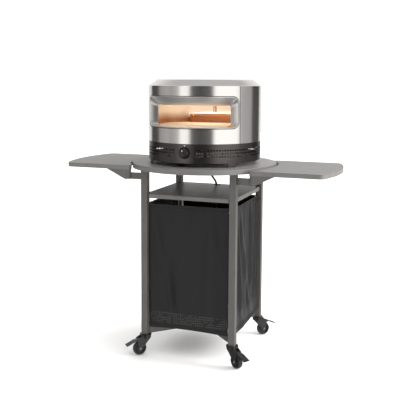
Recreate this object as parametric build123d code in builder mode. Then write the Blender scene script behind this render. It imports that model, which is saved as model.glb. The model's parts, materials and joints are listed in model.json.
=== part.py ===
from build123d import *
import math
import os

# Pizza oven on a wheeled cart with two fold-down side tables. Millimetres, +Z up.
# The origin is on the floor under the oven's centre, the front faces -Y.

os.makedirs("parts", exist_ok=True)

# --- driving sizes -------------------------------------------------------------
frame_size = 450.0          # outer faces of the legs, both ways
leg_size = 30.0             # square tube
leg_wall = 1.5
leg_plug = 4.0              # end plate that takes the caster stem
caster_height = 96.0        # floor to the underside of the leg

table_radius = 336.0
table_top = 885.0
table_sheet = 3.0
table_rim = 23.0            # height of the down-turned edge
table_rim_wall = 2.0
table_edge_fillet = 1.5
table_hole_radius = 34.0    # hose way through the middle
rail_height = 18.0
rail_thick = 3.0

shelf_top = 750.0
shelf_sheet = 1.5
shelf_lip = 18.0
shelf_inset = 10.0          # shelf edge behind the legs' outer faces
shelf_lip_gap = 5.0         # lip end to leg
shelf_hole_radius = 20.0    # hose way
shelf_hole_y = 182.0

cross_height = 32.0
cross_thick = 8.0
tray_radius = 168.0
tray_sheet = 2.0
tray_rim = 12.0

curtain_top = 706.0
curtain_bottom = 131.0
curtain_thick = 1.2
curtain_side_gap = 5.0      # cloth edge to leg
curtain_inset = 15.0        # cloth face behind the legs' outer faces
rod_radius = 3.0
snap_radius = 5.0
snap_gap = 0.4              # stud to cloth edge
snap_low_rise = 20.0        # lower studs above the cloth's foot
snap_high_drop = 16.0       # upper studs below the cloth's top

wing_drop = 6.0             # side table below the round top
wing_half_depth = 230.0
wing_gap = 10.0             # round top to side table
wing_outer_radius = 641.0
wing_sheet = 1.5
wing_lip = 20.0
wing_inner_fillet = 20.0
wing_outer_fillet = 28.0

bracket_thick = 2.5
bracket_reach = 395.0       # outer end of the gusset from the middle
bracket_low = 815.0         # underside beside the arm
arm_thick = 4.0
arm_low = 814.0
arm_high = 845.0
arm_setback = 17.0          # arm face behind the leg's front face
arm_side_gap = 1.5          # arm to bracket
pivot_inset = 23.50045      # pivot outside the side table's inner edge, in line with the arm
pivot_z = 829.0
pivot_radius = 4.0
pivot_shoulder = 7.0
pivot_nut = 7.0             # across its points, radius
pivot_nut_thick = 6.0
pin_tail = 2.0              # pin beyond its nut
slot_radius = 22.0          # travel of the clamp stud round the pivot
slot_margin = 4.2           # arm left beside the slot
slot_overrun = 1.0          # degrees past each end of the travel
stud_radius = 3.0
stud_shoulder = 6.0
stud_clearance = 0.3
clamp_radius = 11.0
clamp_depth = 14.0
clamp_flutes = 5
clamp_flute_radius = 4.2
clamp_flute_offset = 2.5    # flute centres outside the knob's edge
running_clearance = 0.08    # radial, pins in holes
turning_gap = 0.4           # turning pieces to the fixed face beside them
curved_gap = 0.3            # curved faces that stay apart

caster_stem_radius = 5.0
caster_stem_length = 30.0   # up inside the leg
wheel_radius = 32.0
wheel_width = 22.0
wheel_fillet = 4.0
wheel_recess = 4.0          # depth of the dish beside the tyre
tyre_thick = 9.0
hub_wall = 6.0
caster_trail = 30.0
race_radius = 27.0
race_thick = 6.0
race_head = 8.0             # head under the crown that holds the fork up
race_head_thick = 5.0
fork_radius = 25.0
fork_plate = 2.5
fork_crown = 10.0
fork_side_gap = 1.0         # wheel to fork plate
fork_back = 18.0            # plate behind the swivel axis
fork_front = 21.0           # plate ahead of it, at the crown
fork_web = 4.0              # plate left under the crown at the back
fork_lug = 7.0              # plate round the pedal pin
fork_foot = 9.0             # plate round the axle
axle_radius = 4.0
axle_head = 2.0             # rivet head outside each plate
pedal_pin_at = (38.0, 72.0) # out from the swivel, height
pedal_pin_radius = 2.5
pedal_reach = 95.0
pedal_drop = 25.0           # fall from the pin to the pedal's end
pedal_thick = 3.0
pedal_rise = 6.0            # pedal's top above its pin
pedal_back = 8.0            # block behind the pin
pedal_front = 16.0          # block ahead of the pin
shoe_drop = 8.0             # brake shoe below the pin
shoe_length = 5.0
pedal_side_gap = 0.6
pedal_end_width = 32.0
caster_headings = {"front_left": 225.0, "front_right": -30.0, "rear_right": 40.0, "rear_left": 140.0}

oven_radius = 260.0
oven_wall = 1.5
foot_height = 18.0          # table to the underside of the skirt
skirt_height = 85.0
shell_height = 250.0
shoulder_height = 29.0
crown_radius = 222.0
panel_half_angle = 56.0
panel_gap = 0.8
mouth_half_angle = 53.8
mouth_low = 1059.0
mouth_high = 1189.0
mouth_fillet = 26.0
liner_radius = 225.5
liner_wall = 1.0
inner_half_angle = 50.0
inner_high = 1154.0
inner_fillet = 16.0
stone_top = 1060.0
stone_thick = 12.0
stone_radius = 222.0
stone_split = 1.0
floor_sheet = 1.5
stone_back_gap = 1.0        # stone to burner guard
dome_spring = 1180.0
dome_apex = 1240.0
foot_angles = (47.0, 133.0, 227.0, 313.0)   # from the front, going round
foot_width = 38.0
foot_tab = 26.0             # height
foot_sheet = 2.0
foot_pad = 26.0
base_sheet = 2.0
base_rise = 6.0             # base plate above the skirt's lower edge
base_hole_radius = 32.0

guard_width = 262.0
guard_top = 1101.0
guard_y = 150.0
guard_depth = 30.0
guard_sheet = 1.2
guard_hole_pitch = 12.0
guard_hole_radius = 2.6
guard_hole_drop = 7.0       # holes below the top edge
burner_radius = 11.0
burner_length = 230.0
burner_y = 166.0
burner_z = 1082.0
burner_socket_length = 6.0
burner_socket_wall = 2.0
burner_foot = 8.0
electrode_size = (13.0, 2.0, 38.0)
electrode_x = -3.0
electrode_setback = 3.0     # electrode's middle behind the guard's face
pipe_radius = 4.0
pipe_hole_gap = 1.0
pipe_riser_y = 242.0        # between liner and shell
pipe_level = 990.0
pipe_bend = 14.0
post_radius = 6.0
post_at = 178.0
valve_size = (30.0, 34.0, 28.0)
valve_back = 198.0
valve_boss = 9.0
inlet_size = 24.0
nipple_wall = 2.5           # inlet nipple round the hose

control_z = 949.0
knob_radius = 22.0
knob_depth = 22.0
knob_chamfer = 2.0
knob_travel = 3.0
bezel_radius = 26.5
bezel_depth = 4.0
knob_gap = 1.0              # left when the knob is pushed right in
stem_radius = 4.0
stem_depth = 12.0           # into the knob
skirt_hole_radius = 6.0

hose_radius = 5.0
hose_start = 935.0
hose_route = [
    (0, 0, hose_start),
    (0, 0, 866),
    (2, 95, 808),
    (0, 186, 757),
    (-3, 192, 672),
    (-10, 184, 575),
    (-8, 172, 470),
    (4, 160, 368),
    (16, 154, 268),
    (24, 148, 202),
    (30, 118, 150),
    (2, 66, 140),
    (-60, 34, 139),
    (-60, -34, 139),
]
regulator_radius = 26.0
regulator_height = 22.0
regulator_cap_radius = 14.0
regulator_cap_height = 6.0
nozzle_radius = 8.0
nozzle_length = 12.0
tank_nut_radius = 13.0
tank_nut_length = 26.0
tank_nut_rise = 1.5         # nut above the tray
bend_share = 0.45           # of the shorter run beside it, taken up by each bend

# --- places worked out from the sizes ------------------------------------------
half = frame_size / 2
leg_at = half - leg_size / 2
leg_inner = half - leg_size
leg_top = table_top - table_sheet
rim_low = table_top - table_rim
wing_inner_radius = table_radius + wing_gap
wing_top = table_top - wing_drop
wing_low = wing_top - wing_lip
arm_face = half - arm_setback
arm_back = arm_face - arm_thick
pivot_x = math.sqrt(wing_inner_radius ** 2 - arm_face ** 2) + pivot_inset
cross_low = caster_height
cross_top = cross_low + cross_height
tray_floor = cross_top + tray_sheet
skirt_low = table_top + foot_height
shell_low = skirt_low + skirt_height
shell_high = shell_low + shell_height
oven_top = shell_high + shoulder_height
base_low = skirt_low + base_rise
floor_top = stone_top - stone_thick
floor_low = floor_top - floor_sheet
corners = {"front_left": (-1, -1), "front_right": (1, -1), "rear_right": (1, 1), "rear_left": (-1, 1)}
sides = {"left": -1, "right": 1}


def save(piece, name):
    piece.part.label = name
    export_step(piece.part, "parts/" + name + ".step")


def save_placed(piece, name, place):
    placed = piece.part.moved(place)
    placed.label = name
    export_step(placed, "parts/" + name + ".step")


# --- cart frame ----------------------------------------------------------------
def make_leg(name, sx, sy):
    with BuildPart() as leg:
        with BuildSketch(Plane.XY.offset(caster_height)):
            with Locations((sx * leg_at, sy * leg_at)):
                Rectangle(leg_size, leg_size)
                Rectangle(leg_size - 2 * leg_wall, leg_size - 2 * leg_wall, mode=Mode.SUBTRACT)
        extrude(amount=leg_top - caster_height)
        with BuildSketch(Plane.XY.offset(caster_height)):
            with Locations((sx * leg_at, sy * leg_at)):
                Rectangle(leg_size - leg_wall, leg_size - leg_wall)
                Circle(caster_stem_radius, mode=Mode.SUBTRACT)
        extrude(amount=leg_plug)
    save(leg, "leg_" + name)


for corner, (sx, sy) in corners.items():
    make_leg(corner, sx, sy)

with BuildPart() as round_tabletop:
    with BuildSketch(Plane.XY.offset(table_top)):
        Circle(table_radius)
    extrude(amount=-table_rim)
    with BuildSketch(Plane.XY.offset(rim_low)):
        Circle(table_radius - table_rim_wall)
    extrude(amount=table_rim - table_sheet, mode=Mode.SUBTRACT)
    with BuildSketch(Plane.XY.offset(table_top)):
        Circle(table_hole_radius)
    extrude(amount=-table_sheet, mode=Mode.SUBTRACT)
    top_edges = round_tabletop.edges().filter_by(GeomType.CIRCLE).group_by(Axis.Z)[-1]
    fillet(top_edges.sort_by(SortBy.RADIUS)[-1], table_edge_fillet)
save(round_tabletop, "round_tabletop")

with BuildPart() as top_rails:
    with BuildSketch(Plane.XY.offset(leg_top - rail_height)):
        with Locations((0, -leg_at), (0, leg_at)):
            Rectangle(2 * leg_inner, rail_thick)
        with Locations((-leg_at, 0), (leg_at, 0)):
            Rectangle(rail_thick, 2 * leg_inner)
    extrude(amount=rail_height)
save(top_rails, "top_rails")

shelf_half = half - shelf_inset
with BuildPart() as middle_shelf:
    with BuildSketch(Plane.XY.offset(shelf_top - shelf_sheet)):
        Rectangle(2 * shelf_half, 2 * shelf_half)
        with GridLocations(2 * leg_at, 2 * leg_at, 2, 2):
            Rectangle(leg_size, leg_size, mode=Mode.SUBTRACT)
        with Locations((0, shelf_hole_y)):
            Circle(shelf_hole_radius, mode=Mode.SUBTRACT)
    extrude(amount=shelf_sheet)
    lip_length = 2 * (leg_inner - shelf_lip_gap)
    lip_at = shelf_half - shelf_sheet / 2
    with BuildSketch(Plane.XY.offset(shelf_top - shelf_lip)):
        with Locations((0, -lip_at), (0, lip_at)):
            Rectangle(lip_length, shelf_sheet)
        with Locations((-lip_at, 0), (lip_at, 0)):
            Rectangle(shelf_sheet, lip_length)
    extrude(amount=shelf_lip)
save(middle_shelf, "middle_shelf")


# Two flat bars on edge, half-lapped where they cross, run into the legs' inner corners.
def make_cross_bar(name, turn, slot_low):
    with BuildPart() as bar:
        with BuildSketch(Plane.XY.offset(cross_low).rotated((0, 0, turn))):
            Rectangle(2 * math.sqrt(2) * leg_at, cross_thick)
        extrude(amount=cross_height)
        with BuildSketch(Plane.XY.offset(cross_low)):
            with GridLocations(2 * leg_at, 2 * leg_at, 2, 2):
                Rectangle(leg_size, leg_size)
        extrude(amount=cross_height, mode=Mode.SUBTRACT)
        with BuildSketch(Plane.XY.offset(slot_low).rotated((0, 0, turn))):
            Rectangle(cross_thick, cross_thick)
        extrude(amount=cross_height / 2, mode=Mode.SUBTRACT)
    save(bar, name)


make_cross_bar("cross_bar_lower", 45, cross_low + cross_height / 2)
make_cross_bar("cross_bar_upper", 135, cross_low)

with BuildPart() as tank_tray:
    with BuildSketch(Plane.XY.offset(cross_top)):
        Circle(tray_radius)
    extrude(amount=tray_rim)
    with BuildSketch(Plane.XY.offset(tray_floor)):
        Circle(tray_radius - tray_sheet)
    extrude(amount=tray_rim, mode=Mode.SUBTRACT)
save(tank_tray, "tank_tray")

# --- curtains ------------------------------------------------------------------
curtain_face = half - curtain_inset
curtain_half = leg_inner - curtain_side_gap
rod_at = curtain_face - curtain_thick - curved_gap - rod_radius
rod_z = curtain_top - rod_radius
with BuildPart() as curtain_rods:
    with Locations((0, -rod_at, rod_z), (0, rod_at, rod_z)):
        Cylinder(rod_radius, 2 * leg_inner, rotation=(0, 90, 0))
    with Locations((-rod_at, 0, rod_z), (rod_at, 0, rod_z)):
        Cylinder(rod_radius, 2 * leg_inner, rotation=(90, 0, 0))
save(curtain_rods, "curtain_rods")


def make_curtain(name, turn):
    with BuildPart() as curtain:
        with BuildSketch(Plane.XY.offset(curtain_bottom).rotated((0, 0, turn))):
            with Locations((0, -(curtain_face - curtain_thick / 2))):
                Rectangle(2 * curtain_half, curtain_thick)
        extrude(amount=curtain_top - curtain_bottom)
    save(curtain, "curtain_" + name)


for side, turn in {"front": 0, "right": 90, "rear": 180, "left": 270}.items():
    make_curtain(side, turn)

# Snap studs stand on the legs' inner faces, level with each corner of the cloth.
snap_length = curtain_side_gap - snap_gap
snap_at = leg_inner - snap_length / 2
snap_low = curtain_bottom + snap_low_rise
snap_high = curtain_top - snap_high_drop
with BuildPart() as curtain_snaps:
    for turn in (0, 90, 180, 270):
        for side in (-1, 1):
            for level in (snap_low, snap_high):
                place = Vector(side * snap_at, -(curtain_face - curtain_thick / 2), level)
                lean = (0, 90, 0) if turn in (0, 180) else (90, 0, 0)
                with Locations(place.rotate(Axis.Z, turn)):
                    Cylinder(snap_radius, snap_length, rotation=lean)
save(curtain_snaps, "curtain_snaps")


# --- fold-down side tables -----------------------------------------------------
def wing_outline(inset):
    """Sketch face of one right-hand side table, its edge moved in by inset."""
    with BuildSketch() as outline:
        Circle(wing_outer_radius)
        Rectangle(2 * wing_outer_radius, 2 * wing_half_depth, mode=Mode.INTERSECT)
        Circle(wing_inner_radius, mode=Mode.SUBTRACT)
        with Locations((-wing_outer_radius, 0)):
            Rectangle(2 * wing_outer_radius, 2 * wing_outer_radius, mode=Mode.SUBTRACT)
        fillet(outline.vertices().group_by(Axis.X)[0], wing_inner_fillet)
        fillet(outline.vertices().group_by(Axis.X)[-1], wing_outer_fillet)
        if inset:
            offset(amount=-inset, mode=Mode.REPLACE)
    return outline.sketch


def turned(shape, side):
    return shape if side > 0 else shape.mirror(Plane.YZ)


def make_wing(name, side):
    outer = turned(wing_outline(0), side)
    inner = turned(wing_outline(wing_sheet), side)
    with BuildPart() as wing:
        with BuildSketch(Plane.XY.offset(wing_low)):
            add(outer)
        extrude(amount=wing_lip)
        with BuildSketch(Plane.XY.offset(wing_low)):
            add(inner)
        extrude(amount=wing_lip - wing_sheet, mode=Mode.SUBTRACT)
    save(wing, "side_table_" + name)


bracket_face = wing_half_depth - wing_sheet
bracket_back = bracket_face - bracket_thick
bracket_top = wing_top - wing_sheet


# The bracket lies against the inside of the table's lip, turns its inner corner as far as
# the arm, and tapers outwards.
def make_brackets(name, side):
    outer = turned(wing_outline(wing_sheet), side)
    inner = turned(wing_outline(wing_sheet + bracket_thick), side)
    with BuildPart() as brackets:
        with BuildSketch(Plane.XY.offset(bracket_low)):
            add(outer)
            add(inner, mode=Mode.SUBTRACT)
            with Locations((side * (bracket_reach + wing_outer_radius), 0)):
                Rectangle(2 * wing_outer_radius, 2 * wing_outer_radius, mode=Mode.SUBTRACT)
            Rectangle(3 * wing_outer_radius, 2 * (arm_face + arm_side_gap), mode=Mode.SUBTRACT)
        extrude(amount=bracket_top - bracket_low)
        with BuildSketch(Plane.XZ.offset(-wing_half_depth)):
            with BuildLine():
                Polyline(
                    (side * (pivot_x + pivot_radius), bracket_low),
                    (side * bracket_reach, wing_low),
                    (side * bracket_reach, bracket_low),
                    close=True,
                )
            make_face()
        extrude(amount=2 * wing_half_depth, mode=Mode.SUBTRACT)
        for rise, radius in ((0, pivot_shoulder), (slot_radius, stud_shoulder)):
            with Locations((side * pivot_x, 0, pivot_z + rise)):
                Cylinder(radius, 2 * bracket_back, rotation=(90, 0, 0), mode=Mode.SUBTRACT)
    save(brackets, "side_table_brackets_" + name)


# Shouldered pins stand on the brackets. The lower ones turn in the arms, and the upper ones
# ride in the arms' curved slots, where a clamp knob on the front one holds the table.
def make_pins(name, side):
    with BuildPart() as pins:
        for depth in (-1, 1):
            for rise, radius, shoulder, nut in (
                (0, pivot_radius, pivot_shoulder, pivot_nut),
                (slot_radius, stud_radius, stud_shoulder, 0),
            ):
                shoulder_end = arm_face + turning_gap
                tail_end = arm_back - turning_gap - pivot_nut_thick - pin_tail
                with Locations((side * pivot_x, depth * (bracket_back + shoulder_end) / 2, pivot_z + rise)):
                    Cylinder(shoulder, bracket_back - shoulder_end, rotation=(90, 0, 0))
                with Locations((side * pivot_x, depth * (bracket_back + tail_end) / 2, pivot_z + rise)):
                    Cylinder(radius, bracket_back - tail_end, rotation=(90, 0, 0))
                if nut:
                    nut_mid = arm_back - turning_gap - pivot_nut_thick / 2
                    with Locations((side * pivot_x, depth * nut_mid, pivot_z)):
                        Cylinder(nut, pivot_nut_thick, rotation=(90, 0, 0))
    save(pins, "fold_pins_" + name)


def make_clamp_knob(name, side):
    knob_mid = -(arm_back - turning_gap - clamp_depth / 2)
    with BuildPart() as knob:
        with BuildSketch(Plane.XZ.offset(-knob_mid - clamp_depth / 2)):
            with Locations((side * pivot_x, pivot_z + slot_radius)):
                Circle(clamp_radius)
                with PolarLocations(clamp_radius + clamp_flute_offset, clamp_flutes):
                    Circle(clamp_flute_radius, mode=Mode.SUBTRACT)
                Circle(stud_radius + running_clearance, mode=Mode.SUBTRACT)
        extrude(amount=clamp_depth)
    save(knob, "clamp_knob_" + name)


slot_width = 2 * (stud_radius + stud_clearance)
slots = {}
for side in (-1, 1):
    start = 0 if side > 0 else 90
    rim_line = CenterArc((side * pivot_x, pivot_z), slot_radius, start, 90)
    slot_line = CenterArc((side * pivot_x, pivot_z), slot_radius, start - slot_overrun, 90 + 2 * slot_overrun)
    slots[side] = (rim_line, slot_line)
with BuildPart() as fold_arms:
    for sx, sy in corners.values():
        rim_line, slot_line = slots[sx]
        with BuildSketch(Plane.XZ.offset(-max(sy * arm_face, sy * arm_back))):
            with Locations((sx * (half + pivot_x) / 2, (arm_low + arm_high) / 2)):
                Rectangle(pivot_x - half, arm_high - arm_low)
            with Locations((sx * pivot_x, pivot_z)):
                Circle(arm_high - pivot_z)
            SlotArc(rim_line, slot_width + 2 * slot_margin)
            SlotArc(slot_line, slot_width, mode=Mode.SUBTRACT)
            with Locations((sx * pivot_x, pivot_z)):
                Circle(pivot_radius + running_clearance, mode=Mode.SUBTRACT)
        extrude(amount=arm_thick)
save(fold_arms, "fold_arms")

for side_name, side in sides.items():
    make_wing(side_name, side)
    make_brackets(side_name, side)
    make_pins(side_name, side)
    make_clamp_knob(side_name, side)


# --- casters, drawn trailing along +X from the swivel axis ----------------------
crown_top = caster_height - race_thick - turning_gap
crown_low = crown_top - fork_crown
fork_inner = wheel_width / 2 + fork_side_gap
fork_mid = fork_inner + fork_plate / 2
pin_x, pin_z = pedal_pin_at

with BuildPart() as caster_stem:
    with Locations((0, 0, caster_height - race_thick / 2)):
        Cylinder(race_radius, race_thick)
    head_top = crown_low - turning_gap
    stem_top = caster_height + caster_stem_length
    with Locations((0, 0, (head_top + stem_top) / 2)):
        Cylinder(caster_stem_radius, stem_top - head_top)
    with Locations((0, 0, head_top - race_head_thick / 2)):
        Cylinder(race_head, race_head_thick)

with BuildPart() as caster_fork:
    with BuildSketch(Plane.XY.offset(crown_low)):
        Circle(fork_radius)
    extrude(amount=fork_crown)
    for depth in (-fork_mid, fork_mid):
        with BuildSketch(Plane.XZ.offset(-depth - fork_plate / 2)):
            with BuildLine():
                Polyline(
                    (-fork_back, crown_top),
                    (fork_front, crown_top),
                    (pin_x + fork_lug / 2, pin_z + fork_lug),
                    (pin_x + fork_lug, pin_z - fork_lug / 2),
                    (caster_trail + fork_foot, wheel_radius),
                    (caster_trail + fork_foot / 2, wheel_radius - fork_foot),
                    (caster_trail - fork_foot / 2, wheel_radius - fork_foot),
                    (caster_trail - fork_foot, wheel_radius),
                    (-fork_back, crown_low - fork_web),
                    close=True,
                )
            make_face()
            with Locations(pedal_pin_at):
                Circle(pedal_pin_radius + running_clearance, mode=Mode.SUBTRACT)
        extrude(amount=fork_plate)
    with Locations((0, 0, crown_top - fork_crown / 2)):
        Cylinder(caster_stem_radius + running_clearance, fork_crown, mode=Mode.SUBTRACT)
    # axle riveted through both plates
    with Locations((caster_trail, 0, wheel_radius)):
        Cylinder(axle_radius, 2 * (fork_inner + fork_plate + axle_head), rotation=(90, 0, 0))

with BuildPart() as caster_wheel:
    with Locations((caster_trail, 0, wheel_radius)):
        Cylinder(wheel_radius, wheel_width, rotation=(90, 0, 0))
    fillet(caster_wheel.edges().filter_by(GeomType.CIRCLE), wheel_fillet)
    for depth in (-wheel_width / 2, wheel_width / 2 - wheel_recess):
        with BuildSketch(Plane.XZ.offset(-depth - wheel_recess)):
            with Locations((caster_trail, wheel_radius)):
                Circle(wheel_radius - tyre_thick)
                Circle(axle_radius + hub_wall, mode=Mode.SUBTRACT)
        extrude(amount=wheel_recess, mode=Mode.SUBTRACT)
    with Locations((caster_trail, 0, wheel_radius)):
        Cylinder(axle_radius + running_clearance, wheel_width, rotation=(90, 0, 0), mode=Mode.SUBTRACT)

# Brake pedal: it turns on a pin between the fork plates, and a shoe under it meets the tread.
pedal_half = fork_inner - pedal_side_gap
pedal_top = pin_z + pedal_rise
pedal_fall = pedal_drop / (pedal_reach - pin_x)
block_front = pin_x + pedal_front
block_top = pedal_top - pedal_front * pedal_fall
shoe_low = pin_z - shoe_drop
with BuildPart() as brake_pedal:
    with BuildSketch(Plane.XZ.offset(-pedal_half)):
        with BuildLine():
            Polyline(
                (pin_x - pedal_back, pedal_top),
                (pin_x, pedal_top),
                (block_front, block_top),
                (block_front, block_top - pedal_thick),
                (block_front - pedal_thick, shoe_low),
                (block_front - pedal_thick - shoe_length, shoe_low),
                (pin_x + pedal_rise, pin_z - pedal_thick),
                (pin_x - pedal_back, pin_z),
                close=True,
            )
        make_face()
    extrude(amount=2 * pedal_half)
    with BuildSketch(Plane.XZ.offset(-pedal_end_width / 2)):
        with BuildLine():
            Polyline(
                (block_front - 1, block_top + pedal_fall),
                (pedal_reach, pedal_top - pedal_drop),
                (pedal_reach, pedal_top - pedal_drop - pedal_thick),
                (block_front - 1, block_top + pedal_fall - pedal_thick),
                close=True,
            )
        make_face()
    extrude(amount=pedal_end_width)
    with Locations((pin_x, 0, pin_z)):
        Cylinder(pedal_pin_radius, 2 * (fork_inner + fork_plate), rotation=(90, 0, 0))

with BuildPart() as caster_stems:
    for sx, sy in corners.values():
        with Locations((sx * leg_at, sy * leg_at, 0)):
            add(caster_stem.part)
save(caster_stems, "caster_stems")

for corner, (sx, sy) in corners.items():
    place = Location((sx * leg_at, sy * leg_at, 0), (0, 0, caster_headings[corner]))
    save_placed(caster_fork, "caster_fork_" + corner, place)
    save_placed(caster_wheel, "caster_wheel_" + corner, place)
    save_placed(brake_pedal, "brake_pedal_" + corner, place)


# --- oven shell ----------------------------------------------------------------
def front_wedge(half_angle):
    """Corners of a plan wedge that opens to the front by half_angle each side."""
    reach = 3 * oven_radius
    turn = math.radians(half_angle)
    return [
        (0, 0),
        (-reach * math.sin(turn), -reach * math.cos(turn)),
        (0, -2 * reach),
        (reach * math.sin(turn), -reach * math.cos(turn)),
    ]


mouth_sin = math.sin(math.radians(mouth_half_angle))
mouth_cos = math.cos(math.radians(mouth_half_angle))
mouth_half = oven_radius * mouth_sin
gap_angle = math.degrees(panel_gap / oven_radius)
with BuildPart() as front_panel:
    with BuildSketch(Plane.XY.offset(shell_low)):
        Circle(oven_radius)
        Circle(oven_radius - oven_wall, mode=Mode.SUBTRACT)
        with BuildLine():
            Polyline(*front_wedge(panel_half_angle), close=True)
        make_face(mode=Mode.INTERSECT)
    extrude(amount=shell_height)
    with BuildSketch(Plane.XZ.offset(oven_radius / 3)):
        with Locations((0, (mouth_low + mouth_high) / 2)):
            RectangleRounded(2 * mouth_half, mouth_high - mouth_low, mouth_fillet)
    extrude(amount=oven_radius, mode=Mode.SUBTRACT)
save(front_panel, "front_panel")

with BuildPart() as rear_shell:
    with BuildSketch(Plane.XY.offset(shell_low)):
        Circle(oven_radius)
        Circle(oven_radius - oven_wall, mode=Mode.SUBTRACT)
        with BuildLine():
            Polyline(*front_wedge(panel_half_angle + gap_angle), close=True)
        make_face(mode=Mode.SUBTRACT)
    extrude(amount=shell_height)
save(rear_shell, "rear_shell")

with BuildPart() as top_cover:
    with BuildSketch(Plane.XZ):
        with BuildLine():
            Polyline(
                (0, oven_top),
                (crown_radius, oven_top),
                (oven_radius, shell_high),
                (oven_radius - 2 * oven_wall, shell_high),
                (crown_radius - oven_wall, oven_top - oven_wall),
                (0, oven_top - oven_wall),
                close=True,
            )
        make_face()
    revolve(axis=Axis.Z)
save(top_cover, "top_cover")

with BuildPart() as base_skirt:
    with BuildSketch(Plane.XY.offset(skirt_low)):
        Circle(oven_radius)
        Circle(oven_radius - oven_wall, mode=Mode.SUBTRACT)
    extrude(amount=skirt_height)
    with BuildSketch(Plane.XZ.offset(oven_radius / 2)):
        with Locations((0, control_z)):
            Circle(skirt_hole_radius)
    extrude(amount=oven_radius, mode=Mode.SUBTRACT)
save(base_skirt, "base_skirt")

with BuildPart() as base_plate:
    with BuildSketch(Plane.XY.offset(base_low)):
        Circle(oven_radius - oven_wall)
        Circle(base_hole_radius, mode=Mode.SUBTRACT)
    extrude(amount=base_sheet)
save(base_plate, "base_plate")

with BuildPart() as oven_feet:
    for angle in foot_angles:
        with BuildSketch(Plane.XY.offset(table_top).rotated((0, 0, angle - 90))):
            with Locations((oven_radius, 0)):
                Rectangle(2 * foot_pad, foot_width)
            Circle(oven_radius, mode=Mode.SUBTRACT)
            Circle(oven_radius + foot_sheet, mode=Mode.INTERSECT)
        extrude(amount=foot_tab)
        with BuildSketch(Plane.XY.offset(table_top).rotated((0, 0, angle - 90))):
            with Locations((oven_radius + foot_sheet / 2 - foot_pad / 2, 0)):
                Rectangle(foot_pad, foot_width)
        extrude(amount=foot_sheet)
save(oven_feet, "oven_feet")

# --- oven cavity ---------------------------------------------------------------
# The bezel is a funnel from the shell's mouth in to the liner's smaller mouth.
funnel_slope = (mouth_high - inner_high) / (oven_radius - oven_wall - liner_radius)


def funnel_z(radius):
    return inner_high + funnel_slope * (radius - liner_radius)


inner_half = liner_radius * math.sin(math.radians(inner_half_angle))
inner_mouth_y = -liner_radius * math.cos(math.radians(inner_half_angle))
mouth_y = -oven_radius * mouth_cos
# upright plane from the oven's axis out through the mouth's left edge
mouth_edge_plane = Plane((0, 0, 0), x_dir=(-mouth_sin, -mouth_cos, 0), z_dir=(-mouth_cos, mouth_sin, 0))
with BuildPart() as mouth_bezel:
    with BuildSketch(Plane.XY.offset(mouth_low)):
        for side in (-1, 1):
            with BuildLine():
                Polyline(
                    (side * inner_half, inner_mouth_y),
                    (side * (mouth_half - oven_wall), mouth_y - oven_wall),
                    (side * mouth_half, mouth_y),
                    (side * inner_half, inner_mouth_y + oven_wall),
                    close=True,
                )
            make_face()
    extrude(amount=mouth_high - mouth_low)
    with BuildSketch(Plane.XZ):
        with BuildLine():
            Polyline(
                (liner_radius / 2, funnel_z(liner_radius / 2)),
                (2 * oven_radius, funnel_z(2 * oven_radius)),
                (liner_radius / 2, funnel_z(2 * oven_radius)),
                close=True,
            )
        make_face()
    revolve(axis=Axis.Z, mode=Mode.SUBTRACT)
    with BuildSketch(mouth_edge_plane):
        with BuildLine():
            Polyline(
                (liner_radius, inner_high),
                (oven_radius - oven_wall, mouth_high),
                (oven_radius, mouth_high),
                (oven_radius, mouth_high - oven_wall),
                (liner_radius, inner_high - oven_wall),
                close=True,
            )
        make_face()
        with Locations(((liner_radius + oven_radius) / 2, mouth_low + oven_wall / 2)):
            Rectangle(oven_radius - liner_radius, oven_wall)
    revolve(axis=Axis.Z, revolution_arc=2 * mouth_half_angle)
    with Locations((0, 0, (mouth_low + mouth_high) / 2)):
        Cylinder(liner_radius, mouth_high - mouth_low, mode=Mode.SUBTRACT)
    with BuildSketch(Plane.XZ.offset(liner_radius / 3)):
        with Locations((0, (mouth_low + mouth_high) / 2)):
            RectangleRounded(2 * mouth_half, mouth_high - mouth_low, mouth_fillet)
    extrude(amount=oven_radius, mode=Mode.INTERSECT)
save(mouth_bezel, "mouth_bezel")

dome_radius = (liner_radius ** 2 + (dome_apex - dome_spring) ** 2) / (2 * (dome_apex - dome_spring))


def dome_z(radius, inset):
    """Height of the liner's dome, its skin moved in by inset."""
    return dome_apex - dome_radius + math.sqrt((dome_radius - inset) ** 2 - radius ** 2)


liner_inner = liner_radius - liner_wall
with BuildPart() as inner_liner:
    with BuildSketch(Plane.XZ):
        with BuildLine():
            ThreePointArc(
                (liner_radius, dome_z(liner_radius, 0)),
                (liner_radius / 2, dome_z(liner_radius / 2, 0)),
                (0, dome_apex),
            )
            Line((0, dome_apex), (0, dome_apex - liner_wall))
            ThreePointArc(
                (0, dome_apex - liner_wall),
                (liner_inner / 2, dome_z(liner_inner / 2, liner_wall)),
                (liner_inner, dome_z(liner_inner, liner_wall)),
            )
            Polyline(
                (liner_inner, dome_z(liner_inner, liner_wall)),
                (liner_inner, floor_low),
                (liner_radius, floor_low),
                (liner_radius, dome_z(liner_radius, 0)),
            )
        make_face()
    revolve(axis=Axis.Z)
    with BuildSketch(Plane.XZ.offset(liner_radius / 3)):
        with Locations((0, (stone_top + inner_high) / 2)):
            RectangleRounded(2 * inner_half, inner_high - stone_top, inner_fillet)
    extrude(amount=liner_radius, mode=Mode.SUBTRACT)
    with Locations((0, pipe_riser_y / 2, burner_z)):
        Cylinder(pipe_radius + pipe_hole_gap, pipe_riser_y, rotation=(90, 0, 0), mode=Mode.SUBTRACT)
save(inner_liner, "inner_liner")

with BuildPart() as floor_pan:
    with BuildSketch(Plane.XY.offset(floor_low)):
        Circle(liner_inner)
    extrude(amount=floor_sheet)
save(floor_pan, "floor_pan")

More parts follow.
